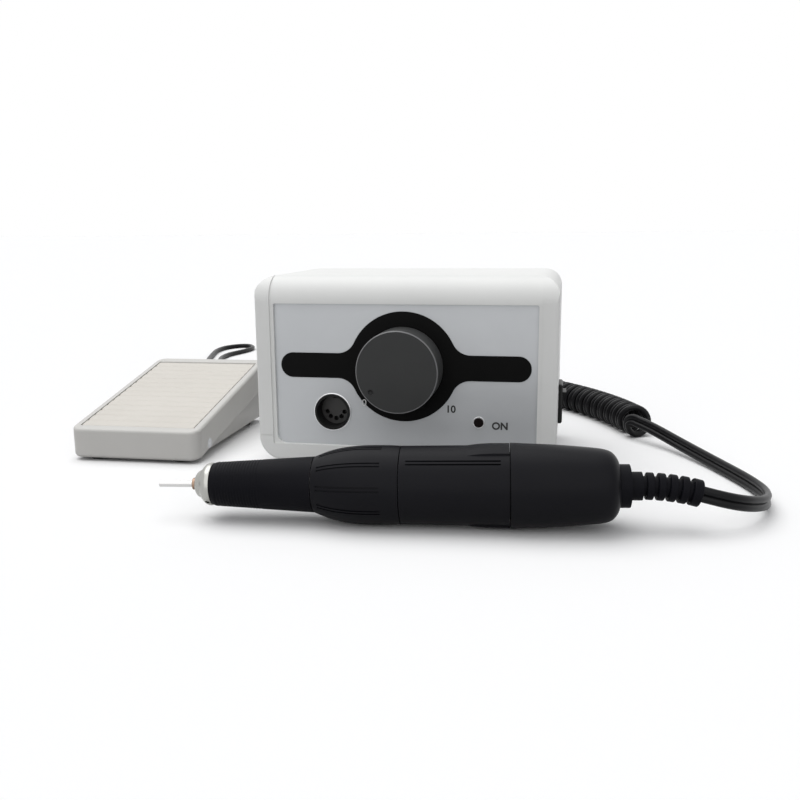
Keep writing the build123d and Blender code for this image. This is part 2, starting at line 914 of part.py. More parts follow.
def make_capacitors():
    """Two smoothing capacitors standing on the board."""
    low = floor_top + board_lift + board_thickness
    x = board_left + capacitor_edge_gap + capacitor_radius
    y = board_y - capacitor_pitch / 2
    return Compound([rod_z(capacitor_radius, low, low + capacitor_height, x, y + i * capacitor_pitch)
                              for i in range(2)])


def make_heatsink():
    """The finned heatsink on the board."""
    low = floor_top + board_lift + board_thickness
    x0 = board_right - heatsink_edge_gap - heatsink_fin_depth - heatsink_plate
    y0 = board_y - heatsink_width / 2
    sink = block(x0, x0 + heatsink_plate, y0, y0 + heatsink_width, low, low + heatsink_height)
    pitch = (heatsink_width - heatsink_plate / 2) / (heatsink_fin_count - 1)
    for i in range(heatsink_fin_count):
        y = y0 + i * pitch
        sink += block(x0 + heatsink_plate / 2, x0 + heatsink_plate + heatsink_fin_depth,
                      y, y + heatsink_plate / 2, low, low + heatsink_height)
    return sink


def transformer_frame():
    """The transformer's place on the tray."""
    return Pos(transformer_x, transformer_y, floor_top + bracket_sheet)


def make_transformer_core():
    """The laminated core with its two windows."""
    core = block(-core_width / 2, core_width / 2, -core_depth / 2, core_depth / 2, 0, core_height)
    for side in (-1, 1):
        inner = side * core_leg
        outer = side * (core_width / 2 - core_leg)
        core -= block(min(inner, outer), max(inner, outer), -core_depth, core_depth,
                      core_leg, core_height - core_leg)
    return transformer_frame() * core


def make_transformer_winding():
    """The winding round the core's middle leg."""
    half_x = core_width / 2 - core_leg - free_gap
    low = core_leg + free_gap
    high = core_height - core_leg - free_gap
    coil = block(-half_x, half_x, -winding_depth / 2, winding_depth / 2, low, high)
    coil = fillet(coil.edges().filter_by(Axis.Z), core_leg / 2)
    coil -= block(-core_leg, core_leg, -core_depth / 2, core_depth / 2, 0, core_height)
    return transformer_frame() * coil


def make_transformer_bracket():
    """The sheet saddle that clamps the core to the tray."""
    half_x = core_width / 2 + bracket_sheet
    half_y = core_depth / 2 - bracket_sheet
    top = core_height + bracket_sheet
    saddle = block(-half_x, half_x, -half_y, half_y, -bracket_sheet, top)
    saddle -= block(-core_width / 2, core_width / 2, -core_depth, core_depth, 0, core_height)
    feet = block(-half_x - bracket_foot, half_x + bracket_foot, -half_y, half_y, -bracket_sheet, 0)
    return transformer_frame() * (saddle + feet)


# Rear panel fittings


def rear_fitting_hole(kind):
    """The panel hole of one rear fitting."""
    y0 = rear_inner - overrun
    y1 = rear_face + overrun
    if kind == "inlet":
        return block(inlet_x - inlet_width / 2, inlet_x + inlet_width / 2, y0, y1,
                     rear_height - inlet_height / 2, rear_height + inlet_height / 2)
    if kind == "switch":
        return block(mains_switch_x - switch_body_width / 2, mains_switch_x + switch_body_width / 2,
                     y0, y1, rear_height - switch_body_length / 2, rear_height + switch_body_length / 2)
    if kind == "fuse":
        return rod_y(fuse_body_radius, y0, y1, fuse_x, rear_height)
    return rod_y(jack_body_radius, y0, y1, jack_x, jack_height)


def make_mains_inlet():
    """The three-pole appliance inlet."""
    inlet = block(inlet_x - inlet_width / 2, inlet_x + inlet_width / 2,
                  rear_face - inlet_depth, rear_face,
                  rear_height - inlet_height / 2, rear_height + inlet_height / 2)
    flange = block(inlet_x - inlet_flange_width / 2, inlet_x + inlet_flange_width / 2,
                   rear_face, rear_face + inlet_flange_depth,
                   rear_height - inlet_flange_height / 2, rear_height + inlet_flange_height / 2)
    flange = fillet(flange.edges().filter_by(Axis.Y), inlet_flange_depth)
    mouth = RectangleRounded(inlet_mouth_width, inlet_mouth_height, inlet_pin_width)
    mouth = Pos(inlet_x, rear_height) * mouth
    front = rear_face + inlet_flange_depth
    return inlet + flange - slab_y(mouth, front - inlet_mouth_depth, front + overrun)


def make_inlet_pins():
    """The inlet's three flat pins."""
    root = rear_face + inlet_flange_depth - inlet_mouth_depth
    pins = []
    for i, rise in ((-1, -inlet_pin_rise), (0, earth_pin_rise), (1, -inlet_pin_rise)):
        x = inlet_x + i * inlet_pin_pitch
        z = rear_height + rise
        pins.append(block(x - inlet_pin_width / 2, x + inlet_pin_width / 2, root,
                          root + inlet_pin_length, z - inlet_pin_height / 2, z + inlet_pin_height / 2))
    return Compound(pins)


def make_fuse_holder():
    """The fuse holder with its slotted cap."""
    holder = rod_y(fuse_body_radius, rear_face - fuse_body_depth, rear_face, fuse_x, rear_height)
    flange_end = rear_face + fuse_flange_depth
    holder += rod_y(fuse_flange_radius, rear_face, flange_end, fuse_x, rear_height)
    cap_top = flange_end + fuse_cap_height
    cap = rod_y(fuse_cap_radius, flange_end, cap_top, fuse_x, rear_height)
    cap = chamfer(cap.edges().group_by(Axis.Y)[-1], fuse_slot_width / 2)
    slot = block(fuse_x - fuse_cap_radius, fuse_x + fuse_cap_radius, cap_top - fuse_slot_width,
                 cap_top + overrun, rear_height - fuse_slot_width / 2, rear_height + fuse_slot_width / 2)
    return holder + cap - slot


def make_pedal_socket():
    """The jack socket of the foot pedal."""
    nut_end = rear_face + jack_nut_depth
    socket = rod_y(jack_body_radius, rear_face - jack_body_depth, rear_face, jack_x, jack_height)
    socket += rod_y(jack_nut_radius, rear_face, nut_end, jack_x, jack_height)
    depth = jack_pin_length + free_gap
    return socket - rod_y(jack_bore_radius, nut_end - depth, nut_end + overrun, jack_x, jack_height)


# Rocker switches, built on the XY plane with their long side along Y and facing +Z


def make_switch_body():
    """The body and flange of a rocker switch, with the well that the rocker tips in."""
    body = block(-switch_body_width / 2, switch_body_width / 2,
                 -switch_body_length / 2, switch_body_length / 2, -switch_body_depth, 0)
    flange = block(-switch_flange_width / 2, switch_flange_width / 2,
                   -switch_flange_length / 2, switch_flange_length / 2, 0, switch_flange_depth)
    flange = fillet(flange.edges().filter_by(Axis.Z), switch_flange_depth / 2)
    flange = chamfer(flange.edges().group_by(Axis.Z)[-1], switch_flange_chamfer)
    well = block(-switch_well_width / 2, switch_well_width / 2, -switch_well_length / 2,
                 switch_well_length / 2, -switch_well_depth, switch_flange_depth + overrun)
    reach = rocker_width / 2 + rocker_pin_reach
    pivot = rod_x(rocker_pin_radius + running_gap, -reach - running_gap, reach + running_gap,
                  0, -rocker_pivot_depth)
    return body + flange - well - pivot


def make_rocker():
    """The rocker, tipped to one side, with the pins that it turns on."""
    outline = Polyline(
        (-rocker_half_length, rocker_end_rise),
        (0, rocker_crown),
        (rocker_half_length, rocker_end_rise),
        (rocker_waist_half, -rocker_waist_depth),
        (rocker_keel_half, -rocker_keel_depth),
        (-rocker_keel_half, -rocker_keel_depth),
        (-rocker_waist_half, -rocker_waist_depth),
        close=True,
    )
    rocker = slab_x(make_face(outline), -rocker_width / 2, rocker_width / 2)
    reach = rocker_width / 2 + rocker_pin_reach
    rocker += rod_x(rocker_pin_radius, -reach, reach, 0, -rocker_pivot_depth)
    pivot = Pos(0, 0, -rocker_pivot_depth)
    return pivot * Rot(rocker_tilt, 0, 0) * Pos(0, 0, rocker_pivot_depth) * rocker


# Handpiece


def ring_edges():
    """The lock ring's outer edges: a rise to its belly, and a short fall behind."""
    rise = smooth_edge(seam_gap, belly_station, ring_front_radius, ring_belly_radius,
                       ring_outline_shares, level_end=True)
    belly = (belly_station, ring_belly_radius)
    return [rise, TangentArc(belly, (ring_end, ring_rear_radius), tangent=(1, 0))]


def hand_rest():
    """The frame of the handpiece, lying on its lock ring's belly and its rear cap's rim."""
    steps = 50
    points = [ring_edges()[0] @ (i / steps) for i in range(steps // 2, steps + 1)]
    rise = min((cap_front_radius - point.Y) / (cap_start - point.X) for point in points)
    tilt = atan(rise)
    height = (cap_front_radius - rise * cap_start) * cos(tilt)
    print("handpiece tilt", round(degrees(tilt), 5), "axis height", round(height, 5))
    return desk * Pos(hand_x, hand_y, height) * Rot(0, 0, hand_yaw) * Rot(0, -degrees(tilt), 0)


hand_frame = hand_rest()


def make_bur_shank():
    """The plain steel shank in the collet."""
    shank = rod_x(bur_radius, bur_front, bur_front + bur_length)
    return chamfer(shank.edges().group_by(Axis.X)[0], bur_chamfer)


def make_collet():
    """The slotted collet that grips the shank."""
    rear = collet_front + collet_length
    collet = rod_x(collet_radius, collet_front, rear)
    head = rod_x(collet_head_radius, collet_front, nose_front - running_gap)
    collet += chamfer(head.edges().group_by(Axis.X)[0], bur_chamfer)
    collet -= rod_x(bur_radius + running_gap, collet_front - overrun, rear + overrun)
    for i in range(collet_slot_count):
        slot = block(collet_front - overrun, collet_front + collet_slot_length,
                     -collet_slot_width / 2, collet_slot_width / 2, 0, collet_head_radius + overrun)
        collet -= Rot(i * 360 / collet_slot_count, 0, 0) * slot
    return collet


def make_spindle():
    """The hollow spindle, slotted at the rear for the motor's drive dog."""
    rear = spindle_rear
    spindle = rod_x(spindle_radius, spindle_front, rear)
    spindle -= rod_x(collet_radius, spindle_front - overrun, collet_front + collet_length)
    spindle -= rod_x(bur_radius + free_gap, spindle_front, bur_front + bur_length + spindle_wall_end)
    half = dog_width / 2 + running_gap
    return spindle - block(rear - dog_length - free_gap, rear + overrun, -half, half,
                           -spindle_radius - overrun, spindle_radius + overrun)


def bearing_stations():
    """Where the four identical bearings start along the axis."""
    rear_seat = cap_start + cap_front_room + (cap_web - bearing_width) / 2
    return [nose_rear + nose_spigot_length, middle_bearing_station, motor_start, rear_seat]


def make_ball_bearings():
    """Four identical ball bearings, each one ring with a groove at both faces."""
    bearings = []
    for station in bearing_stations():
        end = station + bearing_width
        bearing = rod_x(bearing_radius, station, end)
        bearing -= rod_x(spindle_radius + running_gap, station - overrun, end + overrun)
        middle = (bearing_radius + spindle_radius) / 2
        width = (bearing_radius - spindle_radius) / 5
        groove = rod_x(middle + width, station, station + width)
        groove -= rod_x(middle - width, station, station + width)
        bearing -= groove
        bearing -= Pos(bearing_width - width, 0, 0) * groove
        bearings.append(bearing)
    return Compound(bearings)


def make_nose_cone():
    """The metal nose cone with its wrench holes and its spigot in the tube."""
    edge = smooth_edge(nose_front, nose_rear, nose_tip_radius, nose_rear_radius, nose_outline_shares)
    cone = turned([edge], nose_bore_radius)
    cone += rod_x(tube_bore_radius, nose_rear - nose_spigot_length / 2, nose_rear + nose_spigot_length)
    cone -= rod_x(nose_socket_radius, spindle_front - free_gap, nose_rear + nose_spigot_length + overrun)
    cone -= rod_x(nose_bore_radius, nose_front - overrun, nose_rear + nose_spigot_length)
    station = nose_front + nose_hole_share * nose_length
    for i in range(nose_hole_count):
        hole = rod_z(nose_hole_radius, nose_rear_radius - nose_hole_depth,
                     nose_rear_radius + overrun, station)
        cone -= Rot(nose_hole_turn + i * 360 / nose_hole_count, 0, 0) * hole
    return cone


def make_front_tube():
    """The inner tube that carries the grip, the lock ring and the spindle bearings."""
    tube = rod_x(tube_radius, nose_rear, seam_gap)
    tube += rod_x(tube_collar_radius, 0, motor_start)
    tube += rod_x(tube_spigot_radius, motor_start, motor_start + tube_spigot_length)
    return tube - rod_x(tube_bore_radius, nose_rear - overrun, motor_start + tube_spigot_length + overrun)


def make_grip_sleeve():
    """The rubber grip, rounded at the nose and widening to the lock ring."""
    shoulder = nose_rear + grip_nose_length
    nose_rise = grip_front_radius - grip_nose_radius
    edges = [
        Line((nose_rear, tube_radius), (nose_rear, grip_nose_radius)),
        ThreePointArc((nose_rear, grip_nose_radius),
                      (nose_rear + grip_nose_length * grip_nose_share,
                       grip_front_radius - nose_rise * grip_nose_share),
                      (shoulder, grip_front_radius)),
        Line((shoulder, grip_front_radius), (0, grip_rear_radius)),
        Line((0, grip_rear_radius), (0, tube_radius)),
        Line((0, tube_radius), (nose_rear, tube_radius)),
    ]
    return revolve(make_face(edges), axis=Axis.X)


def make_lock_ring():
    """The twist ring that opens the collet, with a ring of long shallow flutes in pairs."""
    edges = ring_edges()
    ring = turned(edges, tube_collar_radius + running_gap)
    start = ring_length * flute_start_share
    end = ring_length * flute_end_share
    skin = turned(edges, 0)
    shallow = Pos(0, 0, -flute_depth) * skin
    for i in range(flute_count):
        for side in (-1, 1):
            y = side * flute_pitch / 2
            cutter = block(start, end, y - flute_width / 2, y + flute_width / 2,
                           0, ring_belly_radius + overrun) - shallow
            ring -= Rot(flute_turn + i * 360 / flute_count, 0, 0) * cutter
    return ring


def make_motor_housing():
    """The motor's barrel with its front wall, two raised fins and a pair of long grooves."""
    edge = Line((motor_start, motor_front_radius), (motor_end, motor_rear_radius))
    barrel = turned([edge], tube_spigot_radius)
    fin_start = motor_end - fin_length
    fin_edge = smooth_edge(fin_start, motor_end, motor_front_radius - seam_gap, fin_radius,
                           fin_outline_shares, level_end=True)
    fins = turned([fin_edge], motor_bore_radius + case_wall / 2)
    barrel += fins & block(fin_start, motor_end, -fin_width / 2, fin_width / 2,
                           -fin_radius * 2, fin_radius * 2)
    front_wall = motor_start + tube_spigot_length
    barrel -= rod_x(motor_bore_radius, front_wall, motor_end + overrun)
    start = motor_start + groove_start_share * motor_length
    end = motor_start + groove_end_share * motor_length
    for i in (-1, 1):
        y = i * groove_pitch / 2
        cutter = block(start, end, y - groove_width / 2, y + groove_width / 2,
                       motor_front_radius - groove_depth, fin_radius + overrun)
        barrel -= Rot(90 - groove_angle, 0, 0) * cutter
    return barrel


def make_motor_magnets():
    """The two curved field magnets inside the barrel."""
    start = armature_station - (magnet_length - armature_length) / 2
    end = start + magnet_length
    ring = rod_x(motor_bore_radius, start, end) - rod_x(magnet_inner_radius, start, end)
    wedge = motor_bore_radius * tan(radians(magnet_gap_angle / 2))
    for side in (-1, 1):
        gap = Polyline((0, 0), (wedge * 2, side * motor_bore_radius * 2),
                       (-wedge * 2, side * motor_bore_radius * 2), close=True)
        ring -= slab_x(make_face(gap), start - overrun, end + overrun)
    return Compound(ring.solids())


def make_armature():
    """The wound rotor on its shaft, with the dog that drives the spindle."""
    rear = cap_start + cap_front_room + cap_web + spindle_wall_end
    rotor = rod_x(spindle_radius, spindle_rear + free_gap, rear)
    rotor += block(spindle_rear - dog_length, spindle_rear + overrun, -dog_width / 2, dog_width / 2,
                   -dog_height / 2, dog_height / 2)
    end = armature_station + armature_length
    rotor += rod_x(armature_radius, armature_station, end)
    rotor += rod_x(winding_radius, armature_station - winding_length, end + winding_length)
    for i in range(armature_slot_count):
        slot = block(armature_station - overrun, end + overrun, -dog_width / 2, dog_width / 2,
                     winding_radius, armature_radius + overrun)
        rotor -= Rot(i * 360 / armature_slot_count, 0, 0) * slot
    return rotor


def make_commutator():
    """The copper ring that the brushes run on."""
    start = commutator_station
    end = start + commutator_length
    return rod_x(commutator_radius, start, end) - rod_x(spindle_radius, start, end)


def make_carbon_brushes():
    """Two brushes, one above and one below the commutator."""
    middle = commutator_station + commutator_length / 2
    low = commutator_radius + running_gap
    brush = block(middle - brush_width / 2, middle + brush_width / 2,
                  -brush_width / 2, brush_width / 2, low, low + brush_height)
    return Compound([brush, Rot(180, 0, 0) * brush])


def make_brush_holders():
    """The two holders that guide the brushes, standing on the cap's inner web."""
    rear = cap_start + cap_front_room
    reach = sqrt(motor_bore_radius ** 2 - (brush_holder_width / 2) ** 2)
    holder = block(rear - brush_holder_length, rear, -brush_holder_width / 2, brush_holder_width / 2,
                   commutator_radius + free_gap * 2, reach)
    middle = commutator_station + commutator_length / 2
    low = commutator_radius
    holder -= block(middle - brush_width / 2, middle + brush_width / 2, -brush_width / 2,
                    brush_width / 2, low, low + running_gap + brush_height)
    return Compound([holder, Rot(180, 0, 0) * holder])


def make_rear_cap():
    """The rear cap with its spigot, brush room, bearing web and cord room."""
    edge = smooth_edge(cap_start, cap_end, cap_front_radius, cap_rear_radius, cap_outline_shares)
    cap = turned([edge], boot_stub_radius)
    cap += rod_x(motor_bore_radius, cap_start - cap_spigot_length, cap_start + cap_front_room)
    web_start = cap_start + cap_front_room
    web_end = web_start + cap_web
    cap += rod_x(motor_bore_radius, web_start - overrun, web_end)
    room = motor_bore_radius - cap_spigot_wall
    cap -= rod_x(room, cap_start - cap_spigot_length - overrun, web_start)
    cap -= rod_x(motor_bore_radius, cap_start + cap_spigot_wall, web_start)
    cap -= rod_x(bearing_radius, bearing_stations()[-1], bearing_stations()[-1] + bearing_width)
    cap -= rod_x(spindle_radius + free_gap, web_start - overrun, web_end + overrun)
    cap -= rod_x(cap_rear_room_radius, web_end, cap_end - cap_end_wall)
    return cap


def boot_station(length):
    """The place and heading of the cord boot's bent centre line, a length past its collar."""
    turn = length / boot_bend_radius
    place = (boot_bend_start + boot_bend_radius * sin(turn), 0, boot_bend_radius * (cos(turn) - 1))
    return Pos(*place) * Rot(0, degrees(turn), 0)


def boot_length():
    """The length of the boot's ribbed part along its bent centre line."""
    ribs = (boot_rib_count - 1) * boot_rib_pitch + boot_rib_length * boot_last_rib_share
    return boot_rib_gap + ribs


def make_cord_boot():
    """The rubber boot: flange, collar and ribs that droop with the cord."""
    boot = rod_x(boot_stub_radius, cap_end - cap_end_wall, cap_end)
    boot += rod_x(boot_flange_radius, cap_end, cap_end + boot_flange_length)
    boot += rod_x(boot_collar_radius, cap_end + boot_flange_length, boot_bend_start)
    turn = boot_length() / boot_bend_radius
    end = (boot_bend_start + boot_bend_radius * sin(turn), 0, boot_bend_radius * (cos(turn) - 1))
    spine = TangentArc((boot_bend_start, 0, 0), end, tangent=(1, 0, 0))
    boot += sweep(Plane(origin=spine @ 0, z_dir=spine % 0) * Circle(boot_core_radius), path=spine)
    for i in range(boot_rib_count):
        length = boot_rib_length * (boot_last_rib_share if i == boot_rib_count - 1 else 1)
        rib = fillet(rod_x(boot_rib_radius, -length, 0).edges(), boot_rib_length / 6)
        boot += boot_station(boot_rib_gap + i * boot_rib_pitch + length) * rib
    return boot


# Foot pedal


def top_height(y):
    """The height of the pedal's sloping top at a distance behind the mat's front edge."""
    return mat_front_height + y * pedal_rise


def sloped(y0, y1, low, high, half):
    """A solid between two slopes that are offset from the pedal's top, and -half to half in X."""
    outline = Polyline((y0, top_height(y0) + low), (y1, top_height(y1) + low),
                       (y1, top_height(y1) + high), (y0, top_height(y0) + high), close=True)
    return slab_x(make_face(outline), -half, half)


def make_treadle():
    """The sloping treadle: a hollow lid with the mat's recess and two pads underneath."""
    lid = sloped(treadle_front, treadle_rear, -skirt_height, 0, treadle_half)
    lid = fillet(lid.edges().filter_by(Axis.Z), treadle_corner_radius)
    roof = lid.faces().sort_by(Axis.Z)[-1]
    lid = fillet(roof.edges(), treadle_edge_radius)
    lid -= sloped(treadle_front + treadle_wall, treadle_rear - treadle_wall,
                  -skirt_height - overrun, -treadle_roof, treadle_half - treadle_wall)
    lid -= sloped(-mat_gap, mat_length + mat_gap, -mat_thickness, overrun, mat_width / 2 + mat_gap)
    plunger_top = base_top + microswitch_height + plunger_rise
    bosses = rod_z(spring_seat_radius, spring_top, top_height(treadle_rear), 0, spring_back)
    bosses += rod_z(plunger_boss_radius, plunger_top + free_gap, top_height(treadle_rear), 0, plunger_back)
    middle = -(treadle_roof + mat_thickness) / 2
    lid += bosses & sloped(treadle_front, treadle_rear, -skirt_height, middle, treadle_half)
    pins = rod_x(pivot_radius + running_gap, -treadle_half - overrun, treadle_half + overrun,
                 pivot_back, pivot_height)
    return lid - pins


def make_mat():
    """The ribbed mat in the treadle's recess."""
    mat = sloped(0, mat_length, -mat_thickness, 0, mat_width / 2)
    pitch = mat_length / (mat_groove_count + 1)
    for i in range(mat_groove_count):
        y = (i + 1) * pitch
        mat -= sloped(y - mat_groove_width / 2, y + mat_groove_width / 2,
                      -mat_groove_depth, overrun, mat_width)
    return mat


def pad_places():
    """The four pads under the pedal."""
    return [(side * pad_x, y) for side in (-1, 1) for y in (pad_front, pad_rear)]


def make_pedal_base():
    """The wedge-shaped tub with its pivot bosses, spring spigot and pad seats."""
    top = -skirt_height + base_overlap
    outline = Polyline((base_front, base_lift), (base_rear, base_lift),
                       (base_rear, top_height(base_rear) + top),
                       (base_front, max(top_height(base_front) + top, base_lift + overrun)), close=True)
    tub = slab_x(make_face(outline), -base_half, base_half)
    tub = fillet(tub.edges().filter_by(Axis.Z), treadle_corner_radius - treadle_wall)
    tub -= block(-base_half + base_wall, base_half - base_wall, base_front + base_wall,
                 base_rear - base_wall, base_top, top_height(base_rear))
    for side in (-1, 1):
        inner = side * (base_half - pivot_boss_reach)
        outer = side * base_half
        boss = block(min(inner, outer), max(inner, outer), pivot_back - pivot_boss_half,
                     pivot_back + pivot_boss_half, base_top - base_floor / 2, pivot_height + pivot_boss_half)
        tub += boss
    tub -= rod_x(pivot_radius, -base_half - overrun, base_half + overrun, pivot_back, pivot_height)
    tub += rod_z(spring_spigot_radius, base_top - base_floor / 2, base_top + spring_spigot_height,
                 0, spring_back)
    for x, y in pad_places():
        tub -= rod_z(pad_radius, base_lift - overrun, base_lift + pad_seat_depth, x, y)
    neck = base_top + gland_rise
    tub -= rod_y(gland_neck_radius, base_rear - base_wall - overrun, base_rear + overrun, gland_x, neck)
    return tub


def make_pedal_pins():
    """The two pivot pins, flush with the treadle's sides."""
    inner = base_half - pivot_boss_reach
    pins = [rod_x(pivot_radius, inner, treadle_half, pivot_back, pivot_height),
            rod_x(pivot_radius, -treadle_half, -inner, pivot_back, pivot_height)]
    return Compound(pins)


def make_pedal_spring():
    """The return spring, with its ends wound flat between the tub and the treadle."""
    low = base_top + spring_wire_radius
    high = spring_top - spring_wire_radius

    def place(turn):
        along = turn / spring_turns
        share = along + (smooth_step(along) - along) * spring_end_share
        angle = 2 * pi * turn
        return Vector(spring_radius * cos(angle), spring_back + spring_radius * sin(angle),
                      low + (high - low) * share)

    return wound(place, 0, spring_turns, spring_wire_radius, spring_wire_radius, "pedal_spring")


def make_pedal_switch():
    """The small switch on the tub's floor."""
    half_y = microswitch_length / 2
    body = block(-microswitch_width / 2, microswitch_width / 2, plunger_back - half_y,
                 plunger_back + half_y, base_top, base_top + microswitch_height)
    top = base_top + microswitch_height
    bottom = top - plunger_sunk - plunger_rise
    return body - rod_z(plunger_radius + running_gap, bottom, top + overrun, 0, plunger_back)


def make_switch_plunger():
    """The switch's plunger, pressed by the treadle."""
    top = base_top + microswitch_height
    return rod_z(plunger_radius, top - plunger_sunk, top + plunger_rise, 0, plunger_back)


def make_pedal_gland():
    """The grommet where the pedal cord leaves the tub."""
    neck = base_top + gland_rise
    gland = rod_y(gland_neck_radius, base_rear - base_wall, base_rear, gland_x, neck)
    gland += rod_y(gland_radius, base_rear, base_rear + gland_length, gland_x, neck)
    inner = base_rear - base_wall
    return gland + rod_y(gland_radius, inner - gland_flange_depth, inner, gland_x, neck)


def make_rubber_feet():
    """The feet of the box and the pads of the pedal, which are the same rubber."""
    feet = [desk * rod_z(foot_radius, 0, case_bottom + foot_seat_depth, x, y) for x, y in foot_places()]
    feet += [pedal_frame * rod_z(pad_radius, 0, base_lift + pad_seat_depth, x, y) for x, y in pad_places()]
    return Compound(feet)


# Cords


def curl_axis(length):
    """The bent centre line of the curly part: its place and heading after a length."""
    start = radians(curl_start_heading)
    turn = start + length / curl_bend_radius
    x = curl_start[0] + curl_bend_radius * (sin(turn) - sin(start))
    y = curl_start[1] - curl_bend_radius * (cos(turn) - cos(start))
    return Vector(x, y, curl_outer_radius), turn


def curl_place(turn):
    """The cord's centre line in the curly part, which leaves along the axis at both ends."""
    last = curl_turns - turn
    lead_extra = curl_lead_pitch - curl_pitch
    length = turn * curl_pitch + lead_extra * (min(turn, curl_lead_turns) + max(curl_lead_turns - last, 0))
    reach = curl_radius * smooth_step(turn / curl_lead_turns) * smooth_step(last / curl_lead_turns)
    centre, heading = curl_axis(length)
    angle = pi / 2 - 2 * pi * turn
    side = reach * cos(angle)
    return centre + Vector(-side * sin(heading), side * cos(heading), reach * sin(angle))


def hank_place_at(turn):
    """The put-away pedal cord: spirals in and out again in two layers."""
    radius = hank_radius - hank_step * min(turn, hank_turns - turn)
    climb = smooth_step((turn - hank_turns / 2) / hank_climb_turns + 1 / 2)
    angle = 2 * pi * turn - pi / 2
    return Vector(hank_place[0] + radius * cos(angle), hank_place[1] + radius * sin(angle),
                  pedal_cord_radius + climb * hank_step)


def make_curly_cord():
    """The curly part of the handpiece cord."""
    return wound(curl_place, 0, curl_turns, cord_radius, 2 * cord_radius, "curly_cord")


def make_hank():
    """The pedal cord's put-away loops."""
    return wound(hank_place_at, 0, hank_turns, pedal_cord_radius, 2 * pedal_cord_radius, "pedal_cord_coil")


def straight_end(place, turn, way, radius, on):
    """Where the straight end of a wound cord stops, and a point further on along its line."""
    nudge = 1e-4
    tangent = (place(turn + nudge) - place(turn - nudge)).normalized() * way
    face = place(turn) + tangent * 2 * radius
    return face, face + tangent * on * radius


def hand_point(place):
    """A point of the handpiece, in the desk frame."""
    moved = desk.inverse() * hand_frame * place
    return moved.position


def make_handpiece_cord():
    """The stretch from the boot, round the right-hand bend, to the curly part."""
    exit_place = hand_point(boot_station(boot_length()))
    ahead = hand_point(boot_station(boot_length()) * Pos(boot_run * cord_radius, 0, 0))
    face, before = straight_end(curl_place, 0, -1, cord_radius, curl_run)
    points = [tuple(exit_place), tuple(ahead), *hand_cord_points, tuple(before), tuple(face)]
    return cord_tube(points, cord_radius, "handpiece_cord")


def make_handpiece_lead():
    """The stretch from the curly part to the plug."""
    face, after = straight_end(curl_place, curl_turns, 1, cord_radius, curl_run)
    tail = Vector(plug_place[0], plug_place[1], plug_radius)
    before = tail - Vector(plug_run * cord_radius, 0, 0)
    points = [tuple(face), tuple(after), *hand_lead_points, tuple(before), tuple(tail)]
    return cord_tube(points, cord_radius, "handpiece_lead")


def make_handpiece_plug():
    """The round plug that fits the front socket, lying behind the box."""
    x0 = plug_place[0]
    x1 = x0 + plug_tail_length
    x2 = x1 + plug_length
    x3 = x2 + plug_nose_length
    y = plug_place[1]
    plug = rod_x(plug_tail_radius, x0, x1, y, plug_radius)
    plug += rod_x(plug_radius, x1, x2, y, plug_radius)
    nose = rod_x(plug_nose_radius, x2, x3, y, plug_radius)
    nose -= rod_x(plug_nose_radius - key_depth / 2, x2 + key_depth, x3 + overrun, y, plug_radius)
    for i in range(contact_count):
        turn = radians(contact_first_angle + i * contact_step_angle)
        z = plug_radius + contact_circle_radius * sin(turn)
        nose += rod_x(plug_pin_radius, x2, x3 - key_depth, y + contact_circle_radius * cos(turn), z)
    return plug + nose


def make_pedal_cord():
    """The stretch from the pedal, round its wide loop on the table, to the put-away loops."""
    leave = desk.inverse() * pedal_frame * Pos(gland_x, base_rear + gland_length, base_top + gland_rise)
    ahead = leave * Pos(0, gland_run * pedal_cord_radius, 0)
    face, before = straight_end(hank_place_at, 0, -1, pedal_cord_radius, hank_run_in)
    points = [tuple(leave.position), tuple(ahead.position), *pedal_cord_points, tuple(before), tuple(face)]
    return cord_tube(points, pedal_cord_radius, "pedal_cord")


def jack_plug_end():
    """Where the jack plug's tail ends behind the box."""
    return rear_face + jack_nut_depth + jack_plug_length + jack_plug_tail_length


def make_pedal_lead():
    """The stretch from the put-away loops up to the jack plug."""
    face, after = straight_end(hank_place_at, hank_turns, 1, pedal_cord_radius, hank_run_out)
    tail = Vector(jack_x, jack_plug_end(), jack_height)
    before = tail + Vector(0, jack_run * pedal_cord_radius, 0)
    points = [tuple(face), tuple(after), *pedal_lead_points, tuple(before), tuple(tail)]
    return cord_tube(points, pedal_cord_radius, "pedal_lead")


def make_pedal_plug():
    """The pedal's jack plug in its socket."""
    front = rear_face + jack_nut_depth
    barrel_end = front + jack_plug_length
    plug = rod_y(jack_plug_radius, front, barrel_end, jack_x, jack_height)
    plug = chamfer(plug.edges().group_by(Axis.Y)[-1], jack_plug_tail_radius / 4)
    plug += rod_y(jack_plug_tail_radius, barrel_end, jack_plug_end(), jack_x, jack_height)
    return plug + rod_y(jack_pin_radius, front - jack_pin_length, front, jack_x, jack_height)


